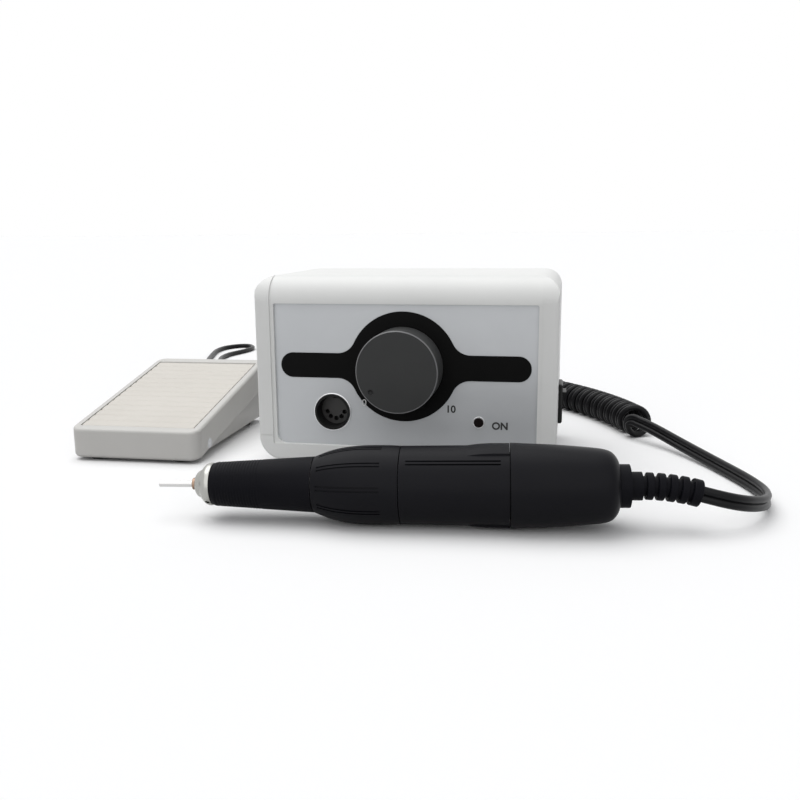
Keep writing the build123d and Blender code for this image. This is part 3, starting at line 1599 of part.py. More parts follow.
def main():
    """Builds every piece and writes each one under its name."""
    shell = case_shell()
    bush_hole = rod_y(pot_bush_radius, -overrun, panel_thickness + overrun, 0, dial_height)
    socket_hole = rod_y(socket_radius, -overrun, panel_thickness + overrun, socket_x, socket_height)
    lamp_hole = rod_y(lamp_radius, -overrun, panel_thickness + overrun, lamp_x, lamp_height)
    rear_holes = [rear_fitting_hole(kind) for kind in ("inlet", "switch", "fuse", "jack")]
    rear_switch = Pos(mains_switch_x, rear_face, rear_height) * Rot(-90, 0, 0)
    side_switch = Pos(half_width, side_switch_y, side_switch_height) * Rot(90, 90, 0)
    box_pieces = {
        "case_cover": make_case_cover(shell),
        "case_base": make_case_base(shell),
        "case_screws": make_screws(),
        "front_panel": make_panel(0, panel_top, [bush_hole, socket_hole, lamp_hole]),
        "panel_overlay": make_overlay(),
        "rear_panel": make_panel(rear_inner, case_top - case_wall, rear_holes),
        "speed_knob": make_speed_knob(),
        "pot_shaft": make_pot_shaft(),
        "speed_pot": make_speed_pot(),
        "pot_nut": make_pot_nut(),
        "socket_shell": make_socket_shell(),
        "socket_insert": make_socket_insert(),
        "power_led": make_power_led(),
        "main_board": make_main_board(),
        "filter_capacitors": make_capacitors(),
        "heatsink": make_heatsink(),
        "transformer_core": make_transformer_core(),
        "transformer_winding": make_transformer_winding(),
        "transformer_bracket": make_transformer_bracket(),
        "mains_inlet": make_mains_inlet(),
        "inlet_pins": make_inlet_pins(),
        "fuse_holder": make_fuse_holder(),
        "mains_switch": rear_switch * make_switch_body(),
        "mains_rocker": rear_switch * make_rocker(),
        "direction_switch": side_switch * make_switch_body(),
        "direction_rocker": side_switch * make_rocker(),
        "pedal_socket": make_pedal_socket(),
        "handpiece_cord": make_handpiece_cord(),
        "curly_cord": make_curly_cord(),
        "handpiece_lead": make_handpiece_lead(),
        "handpiece_plug": make_handpiece_plug(),
        "pedal_cord": make_pedal_cord(),
        "pedal_cord_coil": make_hank(),
        "pedal_lead": make_pedal_lead(),
        "pedal_plug": make_pedal_plug(),
    }
    hand_pieces = {
        "bur_shank": make_bur_shank(),
        "collet": make_collet(),
        "spindle": make_spindle(),
        "ball_bearings": make_ball_bearings(),
        "nose_cone": make_nose_cone(),
        "grip_sleeve": make_grip_sleeve(),
        "front_tube": make_front_tube(),
        "lock_ring": make_lock_ring(),
        "motor_housing": make_motor_housing(),
        "motor_magnets": make_motor_magnets(),
        "armature": make_armature(),
        "commutator": make_commutator(),
        "carbon_brushes": make_carbon_brushes(),
        "brush_holders": make_brush_holders(),
        "rear_cap": make_rear_cap(),
        "cord_boot": make_cord_boot(),
    }
    pedal_pieces = {
        "pedal_base": make_pedal_base(),
        "pedal_treadle": make_treadle(),
        "pedal_mat": make_mat(),
        "pedal_pins": make_pedal_pins(),
        "pedal_spring": make_pedal_spring(),
        "pedal_switch": make_pedal_switch(),
        "switch_plunger": make_switch_plunger(),
        "pedal_gland": make_pedal_gland(),
    }
    for pieces, frame in ((box_pieces, desk), (hand_pieces, hand_frame), (pedal_pieces, pedal_frame)):
        for node, shape in pieces.items():
            write(node, frame * shape)
    write("rubber_feet", make_rubber_feet())


main()
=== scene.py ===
"""A desktop electric nail drill: control box, handpiece on a curly cord, and foot pedal."""

import json
import logging
import math
from dataclasses import dataclass
from enum import Enum
from typing import Sequence

import bmesh
import bpy
from mathutils import Matrix, Vector


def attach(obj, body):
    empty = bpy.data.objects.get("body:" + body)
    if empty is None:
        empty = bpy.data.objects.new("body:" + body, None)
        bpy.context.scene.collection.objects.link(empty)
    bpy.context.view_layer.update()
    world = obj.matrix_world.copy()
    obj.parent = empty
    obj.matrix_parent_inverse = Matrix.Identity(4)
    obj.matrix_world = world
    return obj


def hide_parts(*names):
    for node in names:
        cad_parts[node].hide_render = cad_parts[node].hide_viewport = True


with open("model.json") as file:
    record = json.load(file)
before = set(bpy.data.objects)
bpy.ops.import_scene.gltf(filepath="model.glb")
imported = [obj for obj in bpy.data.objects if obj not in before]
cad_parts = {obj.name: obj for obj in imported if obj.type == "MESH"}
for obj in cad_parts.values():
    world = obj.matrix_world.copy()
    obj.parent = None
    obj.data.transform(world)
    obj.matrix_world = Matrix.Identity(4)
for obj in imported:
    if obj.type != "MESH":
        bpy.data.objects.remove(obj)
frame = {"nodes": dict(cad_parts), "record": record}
log = logging.getLogger("nail_drill")

Colour = tuple[float, float, float]
Point = tuple[float, float, float]

MM = 0.001
DESK_SHIFT = Vector((19.95, -4.4, 0.0))
UP = Vector((0.0, 0.0, 1.0))
QUARTER_TURN = math.radians(90.0)

# Places on the desk, in millimetres and degrees

DIAL_HEIGHT = 44.3
HAND_SPOT = (-18.6, -67.9, 13.23943)
HAND_YAW = 4.74
HAND_RISE = 1.06951
PEDAL_SPOT = (-119.9, -2.1, 0.0)
PEDAL_YAW = 1.13


def desk(x: float, y: float, z: float) -> Vector:
    """Return a place on the desk, given in millimetres, as a place in the frame in metres."""
    return (Vector((x, y, z)) + DESK_SHIFT) * MM


def turned_place(x: float, y: float, z: float, yaw: float, rise: float = 0.0) -> Matrix:
    """Return the place of a sub-assembly that is turned about Z and then tipped about its own Y.

    Args:
        x: Desk place of its origin along the box's front, in millimetres.
        y: Desk place of its origin away from the user, in millimetres.
        z: Height of its origin above the table, in millimetres.
        yaw: Turn about the upright, in degrees.
        rise: Upward tip of its own X axis, in degrees.

    Returns:
        The matrix from the sub-assembly's own millimetres to the frame in metres.
    """
    turn = Matrix.Rotation(math.radians(yaw), 4, "Z") @ Matrix.Rotation(math.radians(-rise), 4, "Y")
    return Matrix.Translation(desk(x, y, z)) @ turn @ Matrix.Scale(MM, 4)


BOX_PLACE = turned_place(0.0, 0.0, 0.0, 0.0)
HAND_PLACE = turned_place(*HAND_SPOT, HAND_YAW, HAND_RISE)
PEDAL_PLACE = turned_place(*PEDAL_SPOT, PEDAL_YAW)


def smooth_step(share: float) -> float:
    """Return a share from 0 to 1 that starts and stops gently."""
    share = min(max(share, 0.0), 1.0)
    return share * share * (3.0 - 2.0 * share)


# Finishes

GRAIN_DETAIL = 3.0
DRIFT_DETAIL = 4.0
DRIFT_ROUGHNESS = 0.6
DRIFT_SPAN = (0.3, 0.7)
WEAR_DETAIL = 6.0
WEAR_STRETCH = (1.0, 2.4, 1.6)
WEAR_FINENESS = 2.7
LINE_DETAIL = 2.0


class Pattern(Enum):
    """What runs over a finish on top of its grain."""

    PLAIN = "plain"
    RINGS = "rings"
    FACE_RINGS = "face_rings"


def new_group(name: str, inputs: dict[str, str],
              outputs: dict[str, str]) -> tuple[bpy.types.NodeTree, bpy.types.Node, bpy.types.Node]:
    """Make an empty shader node group with its sockets.

    Args:
        name: The group's name.
        inputs: The kind of each input, by its name.
        outputs: The kind of each output, by its name.

    Returns:
        The node tree, its input node and its output node.
    """
    tree = bpy.data.node_groups.new(name, "ShaderNodeTree")
    for side, sockets in (("INPUT", inputs), ("OUTPUT", outputs)):
        for label, kind in sockets.items():
            tree.interface.new_socket(name=label, in_out=side, socket_type="NodeSocket" + kind)
    return tree, tree.nodes.new("NodeGroupInput"), tree.nodes.new("NodeGroupOutput")


def make_grain_group() -> bpy.types.NodeTree:
    """Make the fine grain of a moulded or cast skin, as a height."""
    tree, given, result = new_group(
        "moulded_grain", {"Scale": "Float", "Speckle": "Float"}, {"Height": "Float"})
    links = tree.links
    place = tree.nodes.new("ShaderNodeTexCoord")
    fine = tree.nodes.new("ShaderNodeTexNoise")
    fine.inputs["Detail"].default_value = GRAIN_DETAIL
    links.new(place.outputs["Object"], fine.inputs["Vector"])
    links.new(given.outputs["Scale"], fine.inputs["Scale"])
    cells = tree.nodes.new("ShaderNodeTexVoronoi")
    links.new(place.outputs["Object"], cells.inputs["Vector"])
    links.new(given.outputs["Scale"], cells.inputs["Scale"])
    mix = tree.nodes.new("ShaderNodeMix")
    links.new(given.outputs["Speckle"], mix.inputs["Factor"])
    links.new(fine.outputs["Fac"], mix.inputs["A"])
    links.new(cells.outputs["Distance"], mix.inputs["B"])
    links.new(mix.outputs["Result"], result.inputs["Height"])
    return tree


def make_tone_group() -> bpy.types.NodeTree:
    """Make the slow drift between two tones and the handling marks that change the gloss."""
    tree, given, result = new_group(
        "tone_drift",
        {"Tone": "Color", "Shade": "Color", "Scale": "Float", "Smooth": "Float", "Rough": "Float"},
        {"Color": "Color", "Roughness": "Float"})
    links = tree.links
    place = tree.nodes.new("ShaderNodeTexCoord")
    drift = tree.nodes.new("ShaderNodeTexNoise")
    drift.inputs["Detail"].default_value = DRIFT_DETAIL
    drift.inputs["Roughness"].default_value = DRIFT_ROUGHNESS
    links.new(place.outputs["Object"], drift.inputs["Vector"])
    links.new(given.outputs["Scale"], drift.inputs["Scale"])
    spread = tree.nodes.new("ShaderNodeMapRange")
    spread.inputs["From Min"].default_value = DRIFT_SPAN[0]
    spread.inputs["From Max"].default_value = DRIFT_SPAN[1]
    links.new(drift.outputs["Fac"], spread.inputs["Value"])
    tones = tree.nodes.new("ShaderNodeMix")
    tones.data_type = "RGBA"
    links.new(spread.outputs["Result"], tones.inputs["Factor"])
    links.new(given.outputs["Tone"], tones.inputs["A"])
    links.new(given.outputs["Shade"], tones.inputs["B"])
    links.new(tones.outputs["Result"], result.inputs["Color"])
    marks = tree.nodes.new("ShaderNodeTexNoise")
    marks.inputs["Detail"].default_value = WEAR_DETAIL
    stretch = tree.nodes.new("ShaderNodeMapping")
    stretch.inputs["Scale"].default_value = WEAR_STRETCH
    links.new(place.outputs["Object"], stretch.inputs["Vector"])
    links.new(stretch.outputs["Vector"], marks.inputs["Vector"])
    finer = tree.nodes.new("ShaderNodeMath")
    finer.operation = "MULTIPLY"
    finer.inputs[1].default_value = WEAR_FINENESS
    links.new(given.outputs["Scale"], finer.inputs[0])
    links.new(finer.outputs["Value"], marks.inputs["Scale"])
    gloss = tree.nodes.new("ShaderNodeMix")
    links.new(marks.outputs["Fac"], gloss.inputs["Factor"])
    links.new(given.outputs["Smooth"], gloss.inputs["A"])
    links.new(given.outputs["Rough"], gloss.inputs["B"])
    links.new(gloss.outputs["Result"], result.inputs["Roughness"])
    return tree


def make_lines_group() -> bpy.types.NodeTree:
    """Make the fine lines of a turned, brushed or wound surface, along X and round X."""
    tree, given, result = new_group(
        "tool_lines", {"Centre": "Vector", "Turn": "Vector", "Pitch": "Float"},
        {"Along": "Float", "Around": "Float"})
    links = tree.links
    place = tree.nodes.new("ShaderNodeTexCoord")
    shift = tree.nodes.new("ShaderNodeVectorMath")
    shift.operation = "SUBTRACT"
    links.new(place.outputs["Object"], shift.inputs[0])
    links.new(given.outputs["Centre"], shift.inputs[1])
    turn = tree.nodes.new("ShaderNodeVectorRotate")
    turn.rotation_type = "EULER_XYZ"
    links.new(shift.outputs["Vector"], turn.inputs["Vector"])
    links.new(given.outputs["Turn"], turn.inputs["Rotation"])
    parts = tree.nodes.new("ShaderNodeSeparateXYZ")
    links.new(turn.outputs["Vector"], parts.inputs["Vector"])
    across = tree.nodes.new("ShaderNodeCombineXYZ")
    links.new(parts.outputs["Y"], across.inputs["Y"])
    links.new(parts.outputs["Z"], across.inputs["Z"])
    reach = tree.nodes.new("ShaderNodeVectorMath")
    reach.operation = "LENGTH"
    links.new(across.outputs["Vector"], reach.inputs[0])
    for source, label in ((parts.outputs["X"], "Along"), (reach.outputs["Value"], "Around")):
        count = tree.nodes.new("ShaderNodeMath")
        count.operation = "DIVIDE"
        links.new(source, count.inputs[0])
        links.new(given.outputs["Pitch"], count.inputs[1])
        row = tree.nodes.new("ShaderNodeTexNoise")
        row.noise_dimensions = "1D"
        row.inputs["Scale"].default_value = 1.0
        row.inputs["Detail"].default_value = LINE_DETAIL
        links.new(count.outputs["Value"], row.inputs["W"])
        links.new(row.outputs["Fac"], result.inputs[label])
    return tree


@dataclass(frozen=True)
class Finish:
    """One finish: two close tones, its gloss, its grain and the lines that run over it."""

    name: str
    tone: Colour
    shade: Colour
    smooth: float
    rough: float
    drift: float = 30.0
    metallic: float = 0.0
    specular: float = 0.5
    grain: float = 1800.0
    grain_depth: float = 0.00001
    speckle: float = 0.4
    pattern: Pattern = Pattern.PLAIN
    pitch: float = 0.0005
    line_depth: float = 0.00001
    centre: Point = (0.0, 0.0, 0.0)
    turn: Point = (0.0, 0.0, 0.0)


class Workshop:
    """Builds the shared node groups once and mixes each finish's material from them."""

    def __init__(self) -> None:
        """Make the three groups."""
        self.grain = make_grain_group()
        self.tones = make_tone_group()
        self.lines = make_lines_group()
        self.made: dict[str, bpy.types.Material] = {}

    @staticmethod
    def use_group(nodes: bpy.types.Nodes, tree: bpy.types.NodeTree,
                  values: dict[str, object]) -> bpy.types.Node:
        """Put a node group into a material.

        Args:
            nodes: The material's nodes.
            tree: The group.
            values: What goes into each of its inputs.

        Returns:
            The new group node.
        """
        group = nodes.new("ShaderNodeGroup")
        group.node_tree = tree
        for label, value in values.items():
            group.inputs[label].default_value = value
        return group

    def mix(self, finish: Finish) -> bpy.types.Material:
        """Make a finish's material, or hand back the one made before.

        Args:
            finish: The finish to mix.

        Returns:
            Its material.
        """
        if finish.name in self.made:
            return self.made[finish.name]
        material = bpy.data.materials.new(finish.name)
        material.use_nodes = True
        nodes, links = material.node_tree.nodes, material.node_tree.links
        shader = nodes["Principled BSDF"]
        shader.inputs["Metallic"].default_value = finish.metallic
        shader.inputs["Specular IOR Level"].default_value = finish.specular
        tones = self.use_group(nodes, self.tones, {
            "Tone": (*finish.tone, 1.0), "Shade": (*finish.shade, 1.0), "Scale": finish.drift,
            "Smooth": finish.smooth, "Rough": finish.rough})
        links.new(tones.outputs["Color"], shader.inputs["Base Color"])
        links.new(tones.outputs["Roughness"], shader.inputs["Roughness"])
        grain = self.use_group(nodes, self.grain,
                               {"Scale": finish.grain, "Speckle": finish.speckle})
        bump = nodes.new("ShaderNodeBump")
        bump.inputs["Distance"].default_value = finish.grain_depth
        links.new(grain.outputs["Height"], bump.inputs["Height"])
        last = bump
        if finish.pattern is not Pattern.PLAIN:
            lines = self.use_group(nodes, self.lines, {
                "Centre": finish.centre, "Turn": finish.turn, "Pitch": finish.pitch})
            last = nodes.new("ShaderNodeBump")
            last.inputs["Distance"].default_value = finish.line_depth
            side = "Around" if finish.pattern is Pattern.FACE_RINGS else "Along"
            links.new(lines.outputs[side], last.inputs["Height"])
            links.new(bump.outputs["Normal"], last.inputs["Normal"])
        links.new(last.outputs["Normal"], shader.inputs["Normal"])
        self.made[finish.name] = material
        return material

    def dress(self, piece: bpy.types.Object, finish: Finish) -> None:
        """Give a piece one finish all over."""
        piece.data.materials.clear()
        piece.data.materials.append(self.mix(finish))


HAND_TURN = (0.0, math.radians(HAND_RISE), math.radians(-HAND_YAW))
HAND_CENTRE = tuple(HAND_PLACE.translation)
KNOB_CENTRE = tuple(desk(0.0, 0.0, DIAL_HEIGHT))
FACING_FRONT = (0.0, 0.0, QUARTER_TURN)

FINISHES = {finish.name: finish for finish in (
    Finish("case_white", (0.83, 0.835, 0.82), (0.80, 0.805, 0.79), 0.34, 0.46,
           grain=2600.0, grain_depth=0.000012),
    Finish("panel_grey", (0.54, 0.555, 0.57), (0.51, 0.525, 0.54), 0.36, 0.48,
           metallic=0.45, grain=3200.0, grain_depth=0.000006),
    Finish("film_black", (0.004, 0.004, 0.004), (0.006, 0.006, 0.006), 0.42, 0.52,
           specular=0.05, grain=4000.0, grain_depth=0.000003),
    Finish("knob_black", (0.056, 0.057, 0.057), (0.050, 0.051, 0.051), 0.38, 0.5,
           specular=0.12, grain=2800.0, grain_depth=0.00001,
           pattern=Pattern.FACE_RINGS, pitch=0.0004, line_depth=0.000006,
           centre=KNOB_CENTRE, turn=FACING_FRONT),
    Finish("steel", (0.62, 0.61, 0.60), (0.54, 0.54, 0.54), 0.18, 0.3, metallic=1.0,
           pattern=Pattern.RINGS, pitch=0.00025, line_depth=0.000003,
           centre=HAND_CENTRE, turn=HAND_TURN),
    Finish("zinc", (0.58, 0.59, 0.60), (0.50, 0.51, 0.53), 0.3, 0.42, metallic=1.0),
    # The knob's chamfer ring: lighter than the knob, a painted highlight standing in for the glossy
    # chamfer's reflection
    Finish("knob_edge_painted_highlight", (0.17, 0.17, 0.175), (0.15, 0.15, 0.155), 0.2, 0.3,
           grain_depth=0.000004),
    Finish("rim_light", (0.88, 0.88, 0.89), (0.84, 0.84, 0.85), 0.3, 0.4,
           metallic=0.8, grain_depth=0.000004),
    Finish("black_plastic", (0.012, 0.012, 0.012), (0.016, 0.016, 0.016), 0.3, 0.44,
           specular=0.14, grain=2400.0, grain_depth=0.00001),
    Finish("insulator", (0.028, 0.028, 0.028), (0.036, 0.034, 0.032), 0.4, 0.55),
    Finish("lamp_lens", (0.012, 0.009, 0.009), (0.016, 0.012, 0.012), 0.08, 0.14,
           specular=0.35, grain_depth=0.000002),
    Finish("board_green", (0.02, 0.12, 0.05), (0.015, 0.09, 0.04), 0.3, 0.4,
           grain=900.0, grain_depth=0.00002),
    Finish("capacitor_sleeve", (0.015, 0.02, 0.05), (0.02, 0.025, 0.06),
           0.25, 0.35),
    Finish("raw_aluminium", (0.6, 0.61, 0.62), (0.52, 0.53, 0.55), 0.32, 0.45,
           metallic=1.0),
    Finish("core_steel", (0.12, 0.12, 0.13), (0.16, 0.15, 0.15), 0.4, 0.55,
           metallic=0.8, pattern=Pattern.RINGS, pitch=0.0005,
           line_depth=0.00006, turn=FACING_FRONT),
    Finish("winding_tape", (0.62, 0.42, 0.06), (0.55, 0.36, 0.05), 0.3, 0.42,
           pattern=Pattern.RINGS, pitch=0.002, line_depth=0.00008),
    Finish("foot_rubber", (0.02, 0.02, 0.02), (0.028, 0.028, 0.028), 0.6, 0.75,
           grain_depth=0.00003),
    Finish("grip_rubber", (0.004, 0.004, 0.006), (0.006, 0.006, 0.008), 0.42, 0.56,
           specular=0.06, grain=2200.0, grain_depth=0.000012),
    Finish("body_black", (0.006, 0.006, 0.008), (0.008, 0.008, 0.010), 0.34, 0.46,
           specular=0.08, grain=2600.0, grain_depth=0.00001),
    Finish("nose_metal", (0.42, 0.42, 0.395), (0.36, 0.36, 0.345), 0.24, 0.36,
           metallic=1.0, pattern=Pattern.RINGS, pitch=0.0003, line_depth=0.000008,
           centre=HAND_CENTRE, turn=HAND_TURN),
    Finish("collet_bronze", (0.33, 0.23, 0.17), (0.27, 0.19, 0.145), 0.32, 0.44,
           metallic=1.0),
    Finish("copper", (0.62, 0.30, 0.18), (0.52, 0.25, 0.15), 0.28, 0.4, metallic=1.0),
    Finish("carbon", (0.03, 0.03, 0.032), (0.05, 0.05, 0.052), 0.5, 0.65),
    Finish("ferrite", (0.06, 0.06, 0.065), (0.09, 0.085, 0.085), 0.55, 0.7),
    Finish("pedal_white", (0.62, 0.61, 0.585), (0.59, 0.58, 0.555), 0.36, 0.48,
           grain=2400.0, grain_depth=0.000014),
    Finish("mat_cream", (0.68, 0.65, 0.60), (0.65, 0.62, 0.57), 0.5, 0.66,
           grain=1900.0, grain_depth=0.00003),
    Finish("cord_black", (0.006, 0.006, 0.007), (0.009, 0.009, 0.010), 0.26, 0.38,
           specular=0.14, grain=1400.0, grain_depth=0.000008),
    Finish("print_white", (0.78, 0.78, 0.77), (0.74, 0.74, 0.73), 0.5, 0.6),
    Finish("print_black", (0.015, 0.015, 0.015), (0.022, 0.022, 0.022), 0.5, 0.6),
)}


# Meshes

MERGE_GAP = 0.0005
SPIN_FACETS = 96
SPLINE_ORDER = 3
CORNER_LIMIT = 38.0
WAVE_LIMIT = 50.0
CREASE_LIMIT = 60.0


def finish_mesh(name: str, shape: bmesh.types.BMesh, place: Matrix,
                sharp: float = CORNER_LIMIT) -> bpy.types.Object:
    """Turn a shape in its own millimetres into a piece whose place is in its mesh.

    Args:
        name: The piece's name.
        shape: The shape, which is used up.
        place: The matrix from its own millimetres to the frame.
        sharp: Edges steeper than this many degrees stay sharp.

    Returns:
        The new piece at the origin.
    """
    bmesh.ops.remove_doubles(shape, verts=shape.verts, dist=MERGE_GAP)
    bmesh.ops.recalc_face_normals(shape, faces=shape.faces)
    bmesh.ops.transform(shape, matrix=place, verts=shape.verts)
    mesh = bpy.data.meshes.new(name)
    shape.to_mesh(mesh)
    shape.free()
    mesh.shade_smooth()
    mesh.set_sharp_from_angle(angle=math.radians(sharp))
    piece = bpy.data.objects.new(name, mesh)
    bpy.context.collection.objects.link(piece)
    return piece


def spun(outline: Sequence[tuple[float, float]]) -> bmesh.types.BMesh:
    """Spin an outline of stations along X and radii about the X axis.

    Args:
        outline: The outline's points, closed on the axis or as a loop.

    Returns:
        The spun shape.
    """
    shape = bmesh.new()
    verts = [shape.verts.new((station, 0.0, radius)) for station, radius in outline]
    for first, second in zip(verts, verts[1:]):
        shape.edges.new((first, second))
    bmesh.ops.spin(shape, geom=list(shape.verts) + list(shape.edges), cent=(0.0, 0.0, 0.0),
                   axis=(1.0, 0.0, 0.0), angle=math.tau, steps=SPIN_FACETS, use_merge=True,
                   use_duplicate=False, dvec=(0.0, 0.0, 0.0))
    return shape


def spline_line(name: str, points: Sequence[Vector], resolution: int) -> bpy.types.Object:
    """Make a smooth open line with the given control points and no thickness.

    Args:
        name: The line's name.
        points: Its control points in the frame.
        resolution: The steps between two control points.

    Returns:
        The curve object.
    """
    curve = bpy.data.curves.new(name, "CURVE")
    curve.dimensions = "3D"
    curve.resolution_u = resolution
    curve.render_resolution_u = resolution
    spline = curve.splines.new("NURBS")
    spline.points.add(len(points) - 1)
    for knot, point in zip(spline.points, points):
        knot.co = (*point, 1.0)
    spline.order_u = SPLINE_ORDER
    spline.use_endpoint_u = True
    spline.resolution_u = resolution
    line = bpy.data.objects.new(name, curve)
    bpy.context.collection.objects.link(line)
    return line


def read_line(line: bpy.types.Object) -> list[Vector]:
    """Return the points of a line in order."""
    bpy.context.view_layer.update()
    mesh = bpy.data.meshes.new_from_object(line)
    points = [vert.co.copy() for vert in mesh.vertices]
    bpy.data.meshes.remove(mesh)
    return points


def line_length(points: Sequence[Vector]) -> float:
    """Return the length of a line through its points."""
    return sum((b - a).length for a, b in zip(points, points[1:]))


# Cords


@dataclass
class HandpieceCord:
    """The handpiece's flat twin cord: round the table, the curls, and a lead to its plug.

    All its points are in desk millimetres.
    """

    width: float = 5.6
    strand: float = 1.4
    curl_reach: float = 6.1
    curl_height: float = 7.5
    curl_turns: int = 30
    first_step: int = 3
    curl_pitch: float = 7.3
    lead_turns: float = 1.25
    lead_extra: float = 3.5
    far_extra: float = 12.0
    bend_radius: float = 182.0
    start: tuple[float, float] = (102.2, 73.0)
    start_heading: float = 105.2
    lean: float = math.radians(25.0)
    lean_start: float = 4.0
    lean_span: float = 4.0
    blend_span: float = 3.0
    steps: int = 12
    resolution: int = 3
    strand_facets: int = 8
    crease: float = 18.0
    length: float = 1.434
    near_points: tuple[Point, ...] = (
        (110.68, -57.18, 13.14),
        (118.4, -56.54, 11.18),
        (125.6, -52.8, 9.1),
        (131.3, -46.0, 7.0),
        (136.4, -37.0, 5.0),
        (139.0, -26.0, 3.7),
        (138.8, -14.0, 3.1),
        (135.6, -1.0, 3.0),
        (130.9, 13.5, 3.0),
        (125.6, 27.5, 3.4),
        (120.0, 39.5, 4.3),
        (114.0, 51.0, 5.6),
        (107.2, 60.6, 7.7),
        (102.8, 65.9, 8.8),
        (100.0, 69.2, 9.3),
        (98.3, 70.9, 9.9),
        (96.6, 72.6, 9.3),
    )
    far_points: tuple[Point, ...] = (
        (-83.3, 208.1, 7.5),
        (-101.0, 203.0, 4.2),
        (-113.5, 186.0, 2.9),
        (-113.0, 164.0, 2.9),
        (-99.5, 147.5, 3.4),
        (-77.97, 140.0, 7.75),
        (-63.97, 140.0, 7.75),
    )

    def curl(self, turn: float) -> tuple[Vector, Vector]:
        """Place the curls' centre line.

        Args:
            turn: The count of turns from the near end.

        Returns:
            The place in desk millimetres, and the way outwards from the curls' axis.
        """
        last = self.curl_turns - turn
        extra = self.lead_extra * min(turn, self.lead_turns)
        extra += self.far_extra * max(self.lead_turns - last, 0.0)
        first_heading = math.radians(self.start_heading)
        heading = first_heading + (turn * self.curl_pitch + extra) / self.bend_radius
        x = self.start[0] + self.bend_radius * (math.sin(heading) - math.sin(first_heading))
        y = self.start[1] - self.bend_radius * (math.cos(heading) - math.cos(first_heading))
        angle = math.pi / 2 - math.tau * turn
        side = math.cos(angle)
        out = Vector((-side * math.sin(heading), side * math.cos(heading), math.sin(angle)))
        reach = self.curl_reach * smooth_step(last / self.lead_turns)
        reach /= math.cos(math.pi / self.steps)
        return Vector((x, y, self.curl_height)) + out * reach, out

    def control_points(self) -> list[Vector]:
        """Return the whole cord's control points in the frame."""
        points = [Vector(point) for point in self.near_points]
        last_step = self.curl_turns * self.steps
        points += [self.curl(i / self.steps)[0] for i in range(self.first_step, last_step + 1)]
        points += [Vector(point) for point in self.far_points]
        return [desk(*point) for point in points]

    def thin_way(self, knot: float, along: Vector) -> Vector:
        """Return the way that the flat side faces at a place along the control points."""
        turn = (knot - len(self.near_points) + self.first_step) / self.steps
        curled = smooth_step((knot - len(self.near_points)) / self.blend_span + 1.0)
        out = self.curl(min(max(turn, self.first_step / self.steps), float(self.curl_turns)))[1]
        if curled < 1.0:
            lean = self.lean * smooth_step((knot - self.lean_start) / self.lean_span)
            side = along.cross(UP).normalized()
            out = out * curled + (UP * math.sin(lean) - side * math.cos(lean)) * (1.0 - curled)
        return (out - along * out.dot(along)).normalized()

    def section(self) -> list[tuple[float, float]]:
        """Return the twin strands' outline: across the width and through the thickness."""
        half = []
        sweep = 180.0 - self.crease
        for i in range(self.strand_facets + 1):
            angle = math.radians(-sweep + i * 2.0 * sweep / self.strand_facets)
            half.append((self.strand * (1.0 + math.cos(angle)), self.strand * math.sin(angle)))
        return half + [(-across, -through) for across, through in half]

    def swept(self, path: Sequence[Vector], spans: int) -> bmesh.types.BMesh:
        """Sweep the twin strands' outline along the cord's path.

        Args:
            path: The path's points in the frame.
            spans: The number of the spline's spans.

        Returns:
            The swept shape, with its ends closed.
        """
        shape = bmesh.new()
        rings = []
        for i, place in enumerate(path):
            before, after = path[max(i - 1, 0)], path[min(i + 1, len(path) - 1)]
            along = (after - before).normalized()
            # The middle of a span lies nearest to the second of its three control points
            knot = i / (len(path) - 1) * spans + 0.5
            thin = self.thin_way(knot, along)
            wide = along.cross(thin)
            rings.append([shape.verts.new(place + (wide * across + thin * through) * MM)
                          for across, through in self.section()])
        for first, second in zip(rings, rings[1:]):
            for j, vert in enumerate(first):
                k = (j + 1) % len(first)
                shape.faces.new((vert, first[k], second[k], second[j]))
        shape.faces.new(rings[0])
        shape.faces.new(rings[-1])
        return shape

    def build(self, shop: Workshop) -> None:
        points = self.control_points()
        line = spline_line("handpiece_cord_line", points, self.resolution)
        path = read_line(line)
        curve = line.data
        bpy.data.objects.remove(line)
        bpy.data.curves.remove(curve)
        shape = self.swept(path, len(points) - 2)
        piece = finish_mesh("twin_cord", shape, Matrix.Identity(4), CREASE_LIMIT)
        shop.dress(piece, FINISHES["cord_black"])
        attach(piece, "root")
        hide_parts("handpiece_cord", "curly_cord", "handpiece_lead")
        log.info("twin cord, %d rings, %.4f m", len(path), line_length(path))


